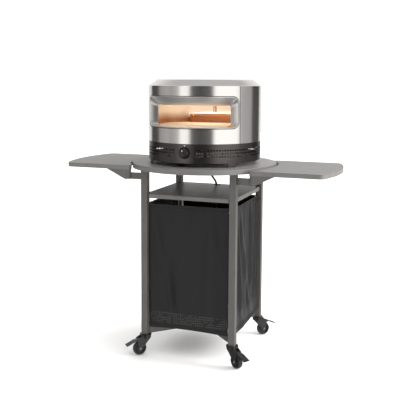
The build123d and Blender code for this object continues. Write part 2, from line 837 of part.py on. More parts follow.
with BuildPart() as baking_stones:
    with BuildSketch(Plane.XY.offset(floor_top)):
        Circle(stone_radius)
        Rectangle(stone_split, 2 * stone_radius, mode=Mode.SUBTRACT)
        with Locations((0, guard_y - stone_back_gap + stone_radius)):
            Rectangle(2 * stone_radius, 2 * stone_radius, mode=Mode.SUBTRACT)
    extrude(amount=stone_thick)
save(baking_stones, "baking_stones")

with BuildPart() as floor_posts:
    with BuildSketch(Plane.XY.offset(base_low + base_sheet)):
        with PolarLocations(post_at, 4, start_angle=45):
            Circle(post_radius)
    extrude(amount=floor_low - base_low - base_sheet)
save(floor_posts, "floor_posts")

# --- gas burner and its controls -----------------------------------------------
with BuildPart() as burner_guard:
    with BuildSketch(Plane.YZ.offset(-guard_width / 2)):
        with BuildLine():
            Polyline(
                (guard_y, floor_top),
                (guard_y, guard_top),
                (guard_y + guard_depth, guard_top),
                (guard_y + guard_depth, guard_top - guard_sheet),
                (guard_y + guard_sheet, guard_top - guard_sheet),
                (guard_y + guard_sheet, floor_top),
                close=True,
            )
        make_face()
    extrude(amount=guard_width)
    hole_count = int((guard_width - 2 * guard_hole_pitch) / guard_hole_pitch) + 1
    with BuildSketch(Plane.XZ.offset(-guard_y - guard_sheet)):
        with Locations((0, guard_top - guard_hole_drop)):
            with GridLocations(guard_hole_pitch, 1, hole_count, 1):
                Circle(guard_hole_radius)
    extrude(amount=guard_sheet, mode=Mode.SUBTRACT)
save(burner_guard, "burner_guard")

burner_socket = burner_y + burner_radius + burner_socket_length
with BuildPart() as burner_tube:
    with Locations((0, burner_y, burner_z)):
        Cylinder(burner_radius, burner_length, rotation=(0, 90, 0))
    foot_rise = burner_z - floor_top
    with Locations((0, burner_y, floor_top + foot_rise / 2)):
        with GridLocations(2 * burner_length / 3, 0, 2, 1):
            Box(burner_foot, burner_radius, foot_rise)
    with Locations((0, (burner_y + burner_socket) / 2, burner_z)):
        Cylinder(pipe_radius + burner_socket_wall, burner_socket - burner_y, rotation=(90, 0, 0))
save(burner_tube, "burner_tube")

with BuildPart() as ignition_electrode:
    with Locations((electrode_x, guard_y + electrode_setback, guard_top + electrode_size[2] / 2)):
        Box(*electrode_size)
save(ignition_electrode, "ignition_electrode")

valve_width, valve_length, valve_height = valve_size
valve_front = valve_back + valve_length
boss_face = oven_radius - oven_wall - curved_gap
bore_depth = valve_length / 2
with BuildPart() as gas_valve:
    with Locations((0, -(valve_back + valve_front) / 2, control_z)):
        Box(valve_width, valve_length, valve_height)
    with Locations((0, -(valve_front + boss_face) / 2, control_z)):
        Cylinder(valve_boss, boss_face - valve_front, rotation=(90, 0, 0))
    with Locations((0, -(valve_front - bore_depth + boss_face) / 2, control_z)):
        Cylinder(
            stem_radius + running_clearance,
            boss_face - valve_front + bore_depth,
            rotation=(90, 0, 0),
            mode=Mode.SUBTRACT,
        )
save(gas_valve, "gas_valve")

bezel_face = oven_radius + bezel_depth
knob_back = bezel_face + knob_travel + knob_gap
stem_back = valve_front - bore_depth + knob_travel + knob_gap
stem_front = knob_back + stem_depth
with BuildPart() as knob_bezel:
    with BuildSketch(Plane.XZ.offset(oven_radius - bezel_depth)):
        with Locations((0, control_z)):
            Circle(bezel_radius)
            Circle(skirt_hole_radius, mode=Mode.SUBTRACT)
    extrude(amount=2 * bezel_depth)
    with Locations((0, 0, control_z)):
        Cylinder(oven_radius, 4 * bezel_radius, mode=Mode.SUBTRACT)
save(knob_bezel, "knob_bezel")

with BuildPart() as valve_stem:
    with Locations((0, -(stem_back + stem_front) / 2, control_z)):
        Cylinder(stem_radius, stem_front - stem_back, rotation=(90, 0, 0))
save(valve_stem, "valve_stem")

with BuildPart() as control_knob:
    with BuildSketch(Plane.XZ.offset(knob_back)):
        with Locations((0, control_z)):
            Circle(knob_radius)
    extrude(amount=knob_depth)
    chamfer(control_knob.faces().sort_by(Axis.Y)[0].edges(), knob_chamfer)
    with Locations((0, -(knob_back + stem_depth / 2), control_z)):
        Cylinder(stem_radius + running_clearance, stem_depth, rotation=(90, 0, 0), mode=Mode.SUBTRACT)
save(control_knob, "control_knob")

with BuildPart() as inlet_fitting:
    with Locations((0, 0, control_z)):
        Box(inlet_size, inlet_size, inlet_size)
    nipple_length = control_z - inlet_size / 2 - hose_start
    with Locations((0, 0, hose_start + nipple_length / 2)):
        Cylinder(hose_radius + nipple_wall, nipple_length)
save(inlet_fitting, "inlet_fitting")

# The feed pipe runs from the inlet to the valve, and the burner pipe back over it, up behind
# the liner and in through its rear wall.
pipe_start = (0, -(valve_back + valve_length / 2), control_z + valve_height / 2)
with BuildPart() as gas_pipes:
    with BuildLine():
        FilletPolyline(
            pipe_start,
            (0, pipe_start[1], pipe_level),
            (0, pipe_riser_y, pipe_level),
            (0, pipe_riser_y, burner_z),
            (0, burner_socket, burner_z),
            radius=pipe_bend,
        )
    with BuildSketch(Plane.XY.offset(pipe_start[2])):
        with Locations(pipe_start[:2]):
            Circle(pipe_radius)
    sweep()
    with Locations((0, -(valve_back + inlet_size / 2) / 2, control_z)):
        Cylinder(pipe_radius, valve_back - inlet_size / 2, rotation=(90, 0, 0))
save(gas_pipes, "gas_pipes")


# --- gas hose ------------------------------------------------------------------
def tube(route, radius):
    """Round tube along straight runs joined by tangent arcs, with its length and bend radii."""
    points = [Vector(*point) for point in route]
    runs = [(b - a).length for a, b in zip(points, points[1:])]
    turns = [
        math.radians((b - a).get_angle(c - b)) for a, b, c in zip(points, points[1:], points[2:])
    ]
    bends = [bend_share * min(a, b) / math.tan(turn / 2) for a, b, turn in zip(runs, runs[1:], turns)]
    with BuildPart() as piece:
        with BuildLine() as line:
            FilletPolyline(*points, radius=bends)
        with BuildSketch(Plane(origin=points[0], z_dir=points[1] - points[0])):
            Circle(radius)
        sweep()
    return piece, line.wires()[0].length, bends


gas_hose, hose_length, hose_bends = tube(hose_route, hose_radius)
save(gas_hose, "gas_hose")
print("hose length", round(hose_length, 1))
print("hose bend radii", [round(bend, 1) for bend in hose_bends])
hose_section = math.pi * hose_radius ** 2
print("hose volume", round(gas_hose.part.volume), "section x length", round(hose_section * hose_length))

end_x, end_y, end_z = hose_route[-1]
regulator_y = end_y - nozzle_length - regulator_radius
with BuildPart() as regulator:
    with BuildSketch(Plane.XY.offset(tray_floor)):
        with Locations((end_x, regulator_y)):
            Circle(regulator_radius)
    extrude(amount=regulator_height)
    with BuildSketch(Plane.XY.offset(tray_floor + regulator_height)):
        with Locations((end_x, regulator_y)):
            Circle(regulator_cap_radius)
    extrude(amount=regulator_cap_height)
    with Locations((end_x, (end_y + regulator_y) / 2, end_z)):
        Cylinder(nozzle_radius, end_y - regulator_y, rotation=(90, 0, 0))
    nut_end = regulator_y - regulator_radius - tank_nut_length
    with Locations((end_x, (regulator_y + nut_end) / 2, tray_floor + tank_nut_radius + tank_nut_rise)):
        Cylinder(tank_nut_radius, regulator_y - nut_end, rotation=(90, 0, 0))
save(regulator, "regulator")
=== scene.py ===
import bpy
import bmesh
import json
import math
from mathutils import Matrix, Vector


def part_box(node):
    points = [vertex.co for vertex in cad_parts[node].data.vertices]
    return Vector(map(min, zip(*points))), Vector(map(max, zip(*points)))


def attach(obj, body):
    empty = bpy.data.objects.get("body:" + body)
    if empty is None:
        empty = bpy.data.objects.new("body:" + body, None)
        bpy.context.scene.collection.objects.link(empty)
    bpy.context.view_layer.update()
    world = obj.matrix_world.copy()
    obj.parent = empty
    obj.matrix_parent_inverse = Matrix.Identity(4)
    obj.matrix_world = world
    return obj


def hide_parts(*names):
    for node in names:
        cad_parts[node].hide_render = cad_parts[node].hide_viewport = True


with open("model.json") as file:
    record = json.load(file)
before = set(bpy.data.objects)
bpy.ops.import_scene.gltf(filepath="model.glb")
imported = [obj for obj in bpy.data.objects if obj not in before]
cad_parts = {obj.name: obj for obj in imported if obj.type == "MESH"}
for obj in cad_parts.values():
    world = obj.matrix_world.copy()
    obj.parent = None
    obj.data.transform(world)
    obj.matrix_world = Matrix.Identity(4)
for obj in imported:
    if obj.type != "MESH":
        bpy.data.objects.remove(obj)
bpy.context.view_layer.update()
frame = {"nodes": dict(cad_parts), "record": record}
scene = bpy.context.scene
cadNodes = frame["nodes"]
print("frame loaded")

# camera
cameraSet = {
    "place": (1.1142, -3.0972, 1.2576),
    "azimuth": 19.963,
    "pitch": 5.851,
    "roll": 0.314,
    "lens": 62.649,
    "shiftY": -0.12,
}


def placeCamera():
    data = bpy.data.cameras.new("camera")
    data.sensor_width = 36
    data.lens = cameraSet["lens"]
    data.shift_y = cameraSet["shiftY"]
    cam = bpy.data.objects.new("camera", data)
    scene.collection.objects.link(cam)
    turn = Matrix.Rotation(math.radians(cameraSet["azimuth"]), 4, "Z")
    tilt = Matrix.Rotation(math.radians(90 - cameraSet["pitch"]), 4, "X")
    roll = Matrix.Rotation(math.radians(cameraSet["roll"]), 4, "Z")
    cam.matrix_world = Matrix.Translation(cameraSet["place"]) @ turn @ tilt @ roll
    scene.camera = cam


placeCamera()

# small helpers


def addObject(name, mesh, material=None):
    obj = bpy.data.objects.new(name, mesh)
    scene.collection.objects.link(obj)
    if material:
        mesh.materials.clear()
        mesh.materials.append(material)
    return obj


def meshFrom(name, points, faces):
    mesh = bpy.data.meshes.new(name)
    mesh.from_pydata(points, [], faces)
    mesh.validate()
    return mesh


def smoothed(mesh, angle=35):
    mesh.polygons.foreach_set("use_smooth", [True] * len(mesh.polygons))
    mesh.set_sharp_from_angle(angle=math.radians(angle))
    return mesh


def applied(obj, angle=30):
    # modifiers made real, with crisp edges at the rims
    depsgraph = bpy.context.evaluated_depsgraph_get()
    mesh = bpy.data.meshes.new_from_object(obj.evaluated_get(depsgraph))
    mesh.name = obj.name
    obj.modifiers.clear()
    obj.data = mesh
    smoothed(mesh, angle)
    return obj


def finishPiece(obj, body, slot, *replaced):
    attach(obj, body)
    if replaced:
        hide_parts(*replaced)
    return obj


def bodyOf(nodeName):
    for body, names in frame["record"]["behaviour"]["bodies"].items():
        if nodeName in names:
            return body


def between(low, high, t):
    return low + (high - low) * t


def ringFaces(levels, count):
    # quads between closed rings of points, one ring after another
    faces = []
    for level in range(levels - 1):
        low, high = level * count, (level + 1) * count
        for index in range(count):
            after = (index + 1) % count
            faces.append((low + index, low + after, high + after, high + index))
    return faces


def gridFaces(rows, columns):
    # quads of a sheet of points, row above row
    width = columns + 1
    starts = [row * width + column for row in range(rows) for column in range(columns)]
    return [(a, a + 1, a + 1 + width, a + width) for a in starts]


def outwards(mesh, merge=1e-6, joined=None):
    # faces turned outwards, after doubles are merged
    work = bmesh.new()
    work.from_mesh(mesh)
    if joined:
        work.from_mesh(joined)
    if merge:
        bmesh.ops.remove_doubles(work, verts=work.verts, dist=merge)
    bmesh.ops.recalc_face_normals(work, faces=work.faces)
    work.to_mesh(mesh)
    work.free()
    return mesh


def thickened(obj, wall, offset=-1.0):
    solid = obj.modifiers.new("wall", "SOLIDIFY")
    solid.thickness = wall
    solid.offset = offset
    solid.use_even_offset = True
    return obj


def addPiece(name, mesh, finish, body, slot, *replaced):
    return finishPiece(addObject(name, mesh, finishes[finish]), body, slot, *replaced)


def addSheet(name, mesh, finish, wall, angle=30):
    # a surface with its wall made real
    return applied(thickened(addObject(name, mesh, finishes[finish]), wall), angle)


# shader groups


def feed(tree, value, socket):
    # a socket is linked, anything else is set
    if isinstance(value, bpy.types.NodeSocket):
        tree.links.new(value, socket)
    else:
        socket.default_value = value


def feedNode(tree, node, **values):
    for key, value in values.items():
        feed(tree, value, node.inputs[key.replace("_", " ")])


def newGroup(name, inputs, outputs):
    tree = bpy.data.node_groups.new(name, "ShaderNodeTree")
    for label, kind, value in inputs:
        socket = tree.interface.new_socket(label, in_out="INPUT", socket_type=kind)
        socket.default_value = value
    for label, kind in outputs:
        tree.interface.new_socket(label, in_out="OUTPUT", socket_type=kind)
    start = tree.nodes.new("NodeGroupInput")
    end = tree.nodes.new("NodeGroupOutput")
    return tree, start.outputs, end


def addNode(tree, kind, settings=None, **values):
    node = tree.nodes.new(kind)
    for key, value in (settings or {}).items():
        setattr(node, key, value)
    feedNode(tree, node, **values)
    return node


def mathNode(tree, operation, *values):
    node = addNode(tree, "ShaderNodeMath", {"operation": operation})
    for socket, value in zip(node.inputs, values):
        feed(tree, value, socket)
    return node.outputs[0]


def times(tree, a, b):
    return mathNode(tree, "MULTIPLY", a, b)


def plus(tree, a, b):
    return mathNode(tree, "ADD", a, b)


def offHalf(tree, value):
    # a 0 to 1 value moved to sit round zero
    return mathNode(tree, "SUBTRACT", value, 0.5)


def noise(tree, vector, **values):
    return addNode(tree, "ShaderNodeTexNoise", Vector=vector, **values).outputs["Fac"]


def ranged(tree, value, settings=None, **limits):
    return addNode(tree, "ShaderNodeMapRange", settings, Value=value, **limits).outputs[0]


def bump(tree, height, **values):
    return addNode(tree, "ShaderNodeBump", Height=height, **values).outputs[0]


def objectPlace(tree):
    return tree.nodes.new("ShaderNodeTexCoord").outputs["Object"]


def parts(tree, vector):
    # x, y and z of a vector
    return addNode(tree, "ShaderNodeSeparateXYZ", Vector=vector).outputs


def mixColour(tree, factor, a, b):
    node = addNode(tree, "ShaderNodeMix", {"data_type": "RGBA"})
    for index, value in ((0, factor), (6, a), (7, b)):
        feed(tree, value, node.inputs[index])
    return node.outputs[2]


def toned(base, factor):
    return (*[min(1, part * factor) for part in base], 1)


def makePowderGroup():
    # powder coat: orange-peel bump with pale and dark flecks
    tree, start, end = newGroup(
        "powderCoat",
        [
            ("Base", "NodeSocketColor", (0.1, 0.1, 0.1, 1)),
            ("Fleck", "NodeSocketColor", (0.3, 0.3, 0.3, 1)),
            ("Peel Scale", "NodeSocketFloat", 900.0),
            ("Peel Depth", "NodeSocketFloat", 0.25),
            ("Roughness", "NodeSocketFloat", 0.5),
        ],
        [("Colour", "NodeSocketColor"), ("Roughness", "NodeSocketFloat"), ("Normal", "NodeSocketVector")],
    )
    place = objectPlace(tree)
    peel = noise(tree, place, Scale=start["Peel Scale"], Detail=2.0, Roughness=0.5)
    flecks = noise(tree, place, Scale=1600.0, Detail=1.0)
    fleckMask = ranged(tree, flecks, From_Min=0.6, From_Max=0.72)
    cloud = noise(tree, place, Scale=9.0, Detail=3.0)
    cloudAmount = ranged(tree, cloud, From_Min=0.3, From_Max=0.7, To_Min=0.92, To_Max=1.08)
    mixed = mixColour(tree, fleckMask, start["Base"], start["Fleck"])
    scaled = addNode(tree, "ShaderNodeVectorMath", {"operation": "SCALE"}, Scale=cloudAmount)
    feed(tree, mixed, scaled.inputs[0])
    feedNode(
        tree,
        end,
        Colour=scaled.outputs[0],
        Roughness=times(tree, start["Roughness"], cloudAmount),
        Normal=bump(tree, peel, Strength=start["Peel Depth"], Distance=0.0003),
    )
    return tree


def makeBrushGroup():
    # brushed sheet: fine lines that run level round the shell
    tree, start, end = newGroup(
        "brushedLines",
        [
            ("Fineness", "NodeSocketFloat", 900.0),
            ("Depth", "NodeSocketFloat", 0.15),
            ("Roughness", "NodeSocketFloat", 0.2),
            ("Spread", "NodeSocketFloat", 0.08),
        ],
        [("Lines", "NodeSocketFloat"), ("Roughness", "NodeSocketFloat"), ("Normal", "NodeSocketVector")],
    )
    place = objectPlace(tree)
    settings = {"vector_type": "POINT"}
    stretch = addNode(tree, "ShaderNodeMapping", settings, Vector=place, Scale=(0.02, 0.02, 1.0))
    lines = noise(tree, stretch.outputs[0], Scale=start["Fineness"], Detail=4.0, Roughness=0.7)
    smudge = noise(tree, place, Scale=6.0, Detail=4.0, Roughness=0.6)
    spread = times(tree, offHalf(tree, smudge), start["Spread"])
    lineSpread = times(tree, offHalf(tree, lines), start["Spread"])
    feedNode(
        tree,
        end,
        Lines=lines,
        Roughness=plus(tree, plus(tree, start["Roughness"], spread), lineSpread),
        Normal=bump(tree, lines, Strength=start["Depth"], Distance=0.0002),
    )
    return tree


def makeWeaveGroup():
    # plain weave on the cloth's own UV map, which is in metres
    tree, start, end = newGroup(
        "plainWeave",
        [("Thread", "NodeSocketFloat", 0.0011), ("Depth", "NodeSocketFloat", 0.4)],
        [("Threads", "NodeSocketFloat"), ("Normal", "NodeSocketVector")],
    )
    across, up, _ = parts(tree, tree.nodes.new("ShaderNodeUVMap").outputs[0])
    rate = mathNode(tree, "DIVIDE", math.pi, start["Thread"])
    warp = mathNode(tree, "SINE", times(tree, across, rate))
    weft = mathNode(tree, "SINE", times(tree, up, rate))
    threads = mathNode(tree, "ABSOLUTE", times(tree, warp, weft))
    feedNode(
        tree,
        end,
        Threads=threads,
        Normal=bump(tree, threads, Strength=start["Depth"], Distance=0.0004),
    )
    return tree


powderGroup = makePowderGroup()
brushGroup = makeBrushGroup()
weaveGroup = makeWeaveGroup()


def newMaterial(name, **settings):
    material = bpy.data.materials.new(name)
    material.use_nodes = True
    tree = material.node_tree
    shader = tree.nodes["Principled BSDF"]
    feedNode(tree, shader, **settings)
    return material, tree, shader


def placeGroup(tree, group, **values):
    return addNode(tree, "ShaderNodeGroup", {"node_tree": group}, **values).outputs


def powderMaterial(name, base, fleck, roughness):
    material, tree, shader = newMaterial(name)
    coat = placeGroup(tree, powderGroup, Base=(*base, 1), Fleck=(*fleck, 1), Roughness=roughness)
    feedNode(tree, shader, Base_Color=coat["Colour"], Roughness=coat["Roughness"], Normal=coat["Normal"])
    return material


def brushedMaterial(name, base, roughness, spread=0.08, depth=0.12):
    material, tree, shader = newMaterial(name, Base_Color=(*base, 1), Metallic=1.0)
    brush = placeGroup(tree, brushGroup, Roughness=roughness, Spread=spread, Depth=depth)
    tone = mixColour(tree, brush["Lines"], toned(base, 0.93), toned(base, 1.05))
    feedNode(tree, shader, Base_Color=tone, Roughness=brush["Roughness"], Normal=brush["Normal"])
    return material


def mouldedMaterial(name, base, roughness, grain=2500.0, depth=0.15):
    material, tree, shader = newMaterial(name, Base_Color=(*base, 1))
    fine = noise(tree, objectPlace(tree), Scale=grain, Detail=3.0)
    low, high = roughness * 0.85, roughness * 1.2
    feedNode(
        tree,
        shader,
        Base_Color=mixColour(tree, fine, toned(base, 0.8), toned(base, 1.25)),
        Roughness=ranged(tree, fine, From_Min=0.3, From_Max=0.7, To_Min=low, To_Max=high),
        Normal=bump(tree, fine, Strength=depth, Distance=0.0002),
    )
    return material


def stoneMaterial():
    material, tree, shader = newMaterial("firedStone", Roughness=0.85)
    place = objectPlace(tree)
    grit = noise(tree, place, Scale=420.0, Detail=6.0, Roughness=0.7)
    scorch = noise(tree, place, Scale=7.0, Detail=5.0)
    pale = mixColour(tree, grit, (0.72, 0.62, 0.50, 1), (0.93, 0.86, 0.76, 1))
    mask = ranged(tree, scorch, From_Min=0.55, From_Max=0.8, To_Max=0.5)
    feedNode(
        tree,
        shader,
        Base_Color=mixColour(tree, mask, pale, (0.45, 0.27, 0.15, 1)),
        Normal=bump(tree, grit, Strength=0.3, Distance=0.0006),
    )
    return material


def linerMaterial(name, low, high, lowZ, highZ, roughness, metal=1.0):
    # heat-tinted steel, darker and redder near the fire
    material, tree, shader = newMaterial(name, Metallic=metal)
    place = objectPlace(tree)
    cloud = noise(tree, place, Scale=14.0, Detail=5.0)
    level = ranged(tree, parts(tree, place)[2], From_Min=lowZ, From_Max=highZ)
    tone = plus(tree, level, times(tree, offHalf(tree, cloud), 0.5))
    brush = placeGroup(tree, brushGroup, Roughness=roughness, Spread=0.15, Depth=0.1)
    feedNode(
        tree,
        shader,
        Base_Color=mixColour(tree, tone, (*low, 1), (*high, 1)),
        Roughness=brush["Roughness"],
        Normal=brush["Normal"],
    )
    return material


clothSet = {
    "thread": 0.0011,
    "base": (0.0062, 0.0062, 0.0065),
    "threadLight": (0.0115, 0.0115, 0.012),
    "hemLines": (0.018, 0.563),
    "hemLineHalf": 0.0013,
    "hemColour": (0.0015, 0.0015, 0.0015),
    "dotRows": 5,
    "dotPitch": 0.0105,
    "dotRadius": 0.0024,
    "dotsAboveHem": 0.028,
    "dotColour": (0.11, 0.105, 0.10),
    "dotsLeftOut": 0.28,
    "roughness": (0.33, 0.42),
}


def cellOf(tree, value, pitch):
    # number of the cell that a value falls in, and where in that cell, from its middle
    cells = mathNode(tree, "DIVIDE", value, pitch)
    return mathNode(tree, "FLOOR", cells), offHalf(tree, mathNode(tree, "FRACT", cells))


def dotMask(tree, across, up):
    # rows of dots above the hem; some are left out, so that the band breaks up
    c = clothSet
    pitch, radius = c["dotPitch"], c["dotRadius"] / c["dotPitch"]
    column, x = cellOf(tree, across, pitch)
    row, y = cellOf(tree, mathNode(tree, "SUBTRACT", up, c["dotsAboveHem"]), pitch)
    away = mathNode(tree, "SQRT", plus(tree, times(tree, x, x), times(tree, y, y)))
    dot = ranged(tree, away, From_Min=radius * 1.25, From_Max=radius * 0.8)
    cell = addNode(tree, "ShaderNodeCombineXYZ", X=column, Y=row).outputs[0]
    chance = addNode(tree, "ShaderNodeTexWhiteNoise", {"noise_dimensions": "2D"}, Vector=cell)
    kept = mathNode(tree, "GREATER_THAN", chance.outputs["Value"], c["dotsLeftOut"])
    above = mathNode(tree, "GREATER_THAN", row, -0.5)
    below = mathNode(tree, "LESS_THAN", row, c["dotRows"] - 0.5)
    return times(tree, times(tree, dot, kept), times(tree, above, below))


def clothMaterial():
    c = clothSet
    material, tree, shader = newMaterial(
        "coatedCloth", Roughness=0.5, Sheen_Weight=0.03, Sheen_Roughness=0.5, Specular_IOR_Level=0.26
    )
    weave = placeGroup(tree, weaveGroup, Thread=c["thread"], Depth=0.18)
    across, up, _ = parts(tree, tree.nodes.new("ShaderNodeUVMap").outputs[0])
    tone = mixColour(tree, weave["Threads"], (*c["base"], 1), (*c["threadLight"], 1))
    for level in c["hemLines"]:
        seam = mathNode(tree, "COMPARE", up, level, c["hemLineHalf"])
        tone = mixColour(tree, seam, tone, (*c["hemColour"], 1))
    dots = times(tree, dotMask(tree, across, up), 0.5)
    wear = noise(tree, objectPlace(tree), Scale=14.0, Detail=4.0)
    low, high = c["roughness"]
    feedNode(
        tree,
        shader,
        Base_Color=mixColour(tree, dots, tone, (*c["dotColour"], 1)),
        Roughness=ranged(tree, wear, From_Min=0.3, From_Max=0.7, To_Min=low, To_Max=high),
        Normal=weave["Normal"],
    )
    return material


finishes = {
    "shellSteel": brushedMaterial("shellSteel", (0.83, 0.81, 0.785), 0.17),
    "skirtSteel": brushedMaterial("skirtSteel", (0.112, 0.100, 0.094), 0.30, spread=0.1),
    "bezelSteel": brushedMaterial("bezelSteel", (0.74, 0.72, 0.70), 0.34),
    "framePaint": powderMaterial("framePaint", (0.066, 0.062, 0.058), (0.14, 0.13, 0.12), 0.45),
    # painted sheen: the frame's powder coat, made lighter for the tables to stand in for the grazing sheen
    # on their tops
    "tablePaint": powderMaterial("tablePaint", (0.100, 0.096, 0.092), (0.24, 0.23, 0.22), 0.42),
    "blackPlastic": mouldedMaterial("blackPlastic", (0.007, 0.007, 0.0075), 0.24),
    "tyreRubber": mouldedMaterial("tyreRubber", (0.016, 0.016, 0.017), 0.42),
    "hoseRubber": mouldedMaterial("hoseRubber", (0.014, 0.014, 0.015), 0.45, grain=900.0),
    "platedSteel": brushedMaterial("platedSteel", (0.30, 0.30, 0.31), 0.36),
    "brassParts": brushedMaterial("brassParts", (0.72, 0.53, 0.25), 0.3),
    "firedStone": stoneMaterial(),
    "paleMark": mouldedMaterial("paleMark", (0.75, 0.75, 0.74), 0.5),
    "linerSteel": linerMaterial(
        "linerSteel", (0.42, 0.20, 0.10), (0.95, 0.89, 0.80), 1.075, 1.115, 0.36, metal=0.35
    ),
    "guardSteel": linerMaterial("guardSteel", (0.42, 0.17, 0.075), (0.62, 0.27, 0.13), 1.06, 1.10, 0.42),
    # painted shade: dark finish of the sheets that stand for the shadow in the gaps at the mouth and the
    # seams
    "gasketRope": mouldedMaterial("gasketRope", (0.010, 0.009, 0.009), 0.8, grain=900.0),
    "coatedCloth": clothMaterial(),
}
print("finishes made")

# finishes of the pieces that stay as the frame has them
slotFinish = {
    "shell_steel": "shellSteel",
    "dark_steel": "skirtSteel",
    "liner_steel": "linerSteel",
    "frame_paint": "framePaint",
    "table_paint": "tablePaint",
    "cloth": "coatedCloth",
    "black_plastic": "blackPlastic",
    "tyre": "tyreRubber",
    "zinc": "platedSteel",
    "stone": "firedStone",
    "brass": "brassParts",
    "hose_rubber": "hoseRubber",
}
nodeSlots = {part["node"]: part["material_slot"] for part in frame["record"]["subparts"]}
for nodeName, obj in cadNodes.items():
    material = finishes[slotFinish[nodeSlots[nodeName]]]
    if nodeName in ("burner_guard", "burner_tube", "ignition_electrode"):
        material = finishes["guardSteel"]
    if nodeName == "caster_stems":
        material = finishes["blackPlastic"]
    for place in obj.material_slots:
        place.material = material

# gas hose: the route's own points, in metres
hoseSet = {
    "radius": 0.005,
    "length": 1.0766,
    "route": [
        (0, 0, 0.935),
        (0, 0, 0.866),
        (0.002, 0.095, 0.808),
        (0, 0.186, 0.757),
        (-0.003, 0.192, 0.672),
        (-0.010, 0.184, 0.575),
        (-0.008, 0.172, 0.470),
        (0.004, 0.160, 0.368),
        (0.016, 0.154, 0.268),
        (0.024, 0.148, 0.202),
        (0.030, 0.118, 0.150),
        (0.002, 0.066, 0.140),
        (-0.060, 0.034, 0.139),
        (-0.060, -0.034, 0.139),
    ],
}


def makeHose():
    curve = bpy.data.curves.new("gasHose", "CURVE")
    curve.dimensions = "3D"
    spline = curve.splines.new("NURBS")
    spline.points.add(len(hoseSet["route"]) - 1)
    for point, place in zip(spline.points, hoseSet["route"]):
        point.co = (*place, 1)
    spline.order_u = 3
    spline.use_endpoint_u = True
    spline.resolution_u = 12
    curve.bevel_depth = hoseSet["radius"]
    curve.bevel_resolution = 5
    curve.use_fill_caps = True
    curve.materials.append(finishes["hoseRubber"])
    hose = bpy.data.objects.new("gasHose", curve)
    scene.collection.objects.link(hose)
    finishPiece(hose, "cart", "hose_rubber", "gas_hose")


makeHose()
print("hose made")

# sheet steel and tube with softened edges
edgeSet = {
    "leg_front_left": 0.0006,
    "leg_front_right": 0.0006,
    "leg_rear_left": 0.0006,
    "leg_rear_right": 0.0006,
    "round_tabletop": 0.0008,
    "side_table_left": 0.0006,
    "side_table_right": 0.0006,
    "middle_shelf": 0.0006,
    "side_table_brackets_left": 0.0008,
    "side_table_brackets_right": 0.0008,
    "fold_arms": 0.0009,
    "cross_bar_lower": 0.0009,
    "cross_bar_upper": 0.0009,
    "oven_feet": 0.0006,
}


def softEdged(nodeName, width):
    source = cadNodes[nodeName].data
    work = bmesh.new()
    work.from_mesh(source)
    bmesh.ops.remove_doubles(work, verts=work.verts, dist=1e-5)
    bmesh.ops.dissolve_limit(work, angle_limit=math.radians(0.5), verts=work.verts, edges=work.edges)
    mesh = bpy.data.meshes.new(nodeName + "Soft")
    work.to_mesh(mesh)
    work.free()
    smoothed(mesh, 30)
    obj = addObject(nodeName + "Soft", mesh, finishes[slotFinish[nodeSlots[nodeName]]])
    bevel = obj.modifiers.new("edges", "BEVEL")
    bevel.width = width
    bevel.segments = 3
    bevel.limit_method = "ANGLE"
    bevel.angle_limit = math.radians(40)
    bevel.harden_normals = True
    bevel.use_clamp_overlap = True
    finishPiece(obj, bodyOf(nodeName), nodeSlots[nodeName], nodeName)


for nodeName, width in edgeSet.items():
    softEdged(nodeName, width)
print("frame edges softened")

# casters: each is modelled trailing along +X and then turned into place
casterSet = {
    "legAt": 0.210,
    "trail": 0.030,
    "headings": {"front_left": 225.0, "front_right": -30.0, "rear_right": 40.0, "rear_left": 140.0},
    "corners": {"front_left": (-1, -1), "front_right": (1, -1), "rear_right": (1, 1), "rear_left": (-1, 1)},
    "wheelRadius": 0.032,
    "wheelHalf": 0.011,
    # (radius, in from the wheel's side) of the tyre's wall, then its rounded shoulder
    "tyreWall": [(0.0222, 0.0028), (0.0232, 0.0028), (0.0238, 0.0008)],
    "shoulderIn": 0.0062,
    "shoulder": 0.0050,
    "crownDrop": 0.0002,
    # (radius, in from the wheel's side) of the rim, from the axle's bore outwards
    "rim": [
        (0.0041, 0.0002), (0.0088, 0.0002), (0.0098, 0.0012), (0.0104, 0.0045), (0.0170, 0.0052),
        (0.0208, 0.0030), (0.0222, 0.0018), (0.0228, 0.0022), (0.0228, 0.0060),
    ],
    # (radius, outwards) of an axle's domed head, and where its flat side stands
    "axleHead": [
        (0.0, 0.0032), (0.0026, 0.0030), (0.0046, 0.0022), (0.0058, 0.0008), (0.0060, 0.0), (0.0, 0.0),
    ],
    "axleHeadAt": 0.0146,
    # (radius, height) of the ring seal
    "race": [
        (0.006, 0.0957), (0.0262, 0.0957), (0.0270, 0.0948), (0.0270, 0.0926), (0.0258, 0.0918),
        (0.0266, 0.0910), (0.0262, 0.0902), (0.006, 0.0902), (0.006, 0.0957),
    ],
    # grip ribs on the pedal, which drops 25 in 57
    "pedalSlope": math.atan2(0.025, 0.057),
    "pedalTop": (0.038, 0.078),
    "ribCount": 4,
    "ribFirst": 0.074,
    "ribPitch": 0.0048,
    "ribHalf": 0.0145,
    "ribSection": [(-0.0012, -0.0002), (-0.0008, 0.0009), (0.0008, 0.0009), (0.0012, -0.0002)],
}


def lathe(profile, axis, centre, segments=64):
    # turns (radius, along) round an axis through centre; open ends sit on the axis or in a bore
    points = []
    centre = Vector(centre)
    axis = Vector(axis).normalized()
    side = axis.orthogonal().normalized()
    other = axis.cross(side)
    for radius, along in profile:
        for segment in range(segments):
            turn = 2 * math.pi * segment / segments
            spoke = side * math.cos(turn) + other * math.sin(turn)
            points.append(tuple(centre + axis * along + spoke * radius))
    return points, ringFaces(len(profile), segments)


def latheMesh(name, profile, axis, centre, segments=64, angle=35):
    return smoothed(outwards(meshFrom(name, *lathe(profile, axis, centre, segments))), angle)


def cornerMatrix(corner):
    sx, sy = casterSet["corners"][corner]
    place = Matrix.Translation((sx * casterSet["legAt"], sy * casterSet["legAt"], 0))
    return place @ Matrix.Rotation(math.radians(casterSet["headings"][corner]), 4, "Z")


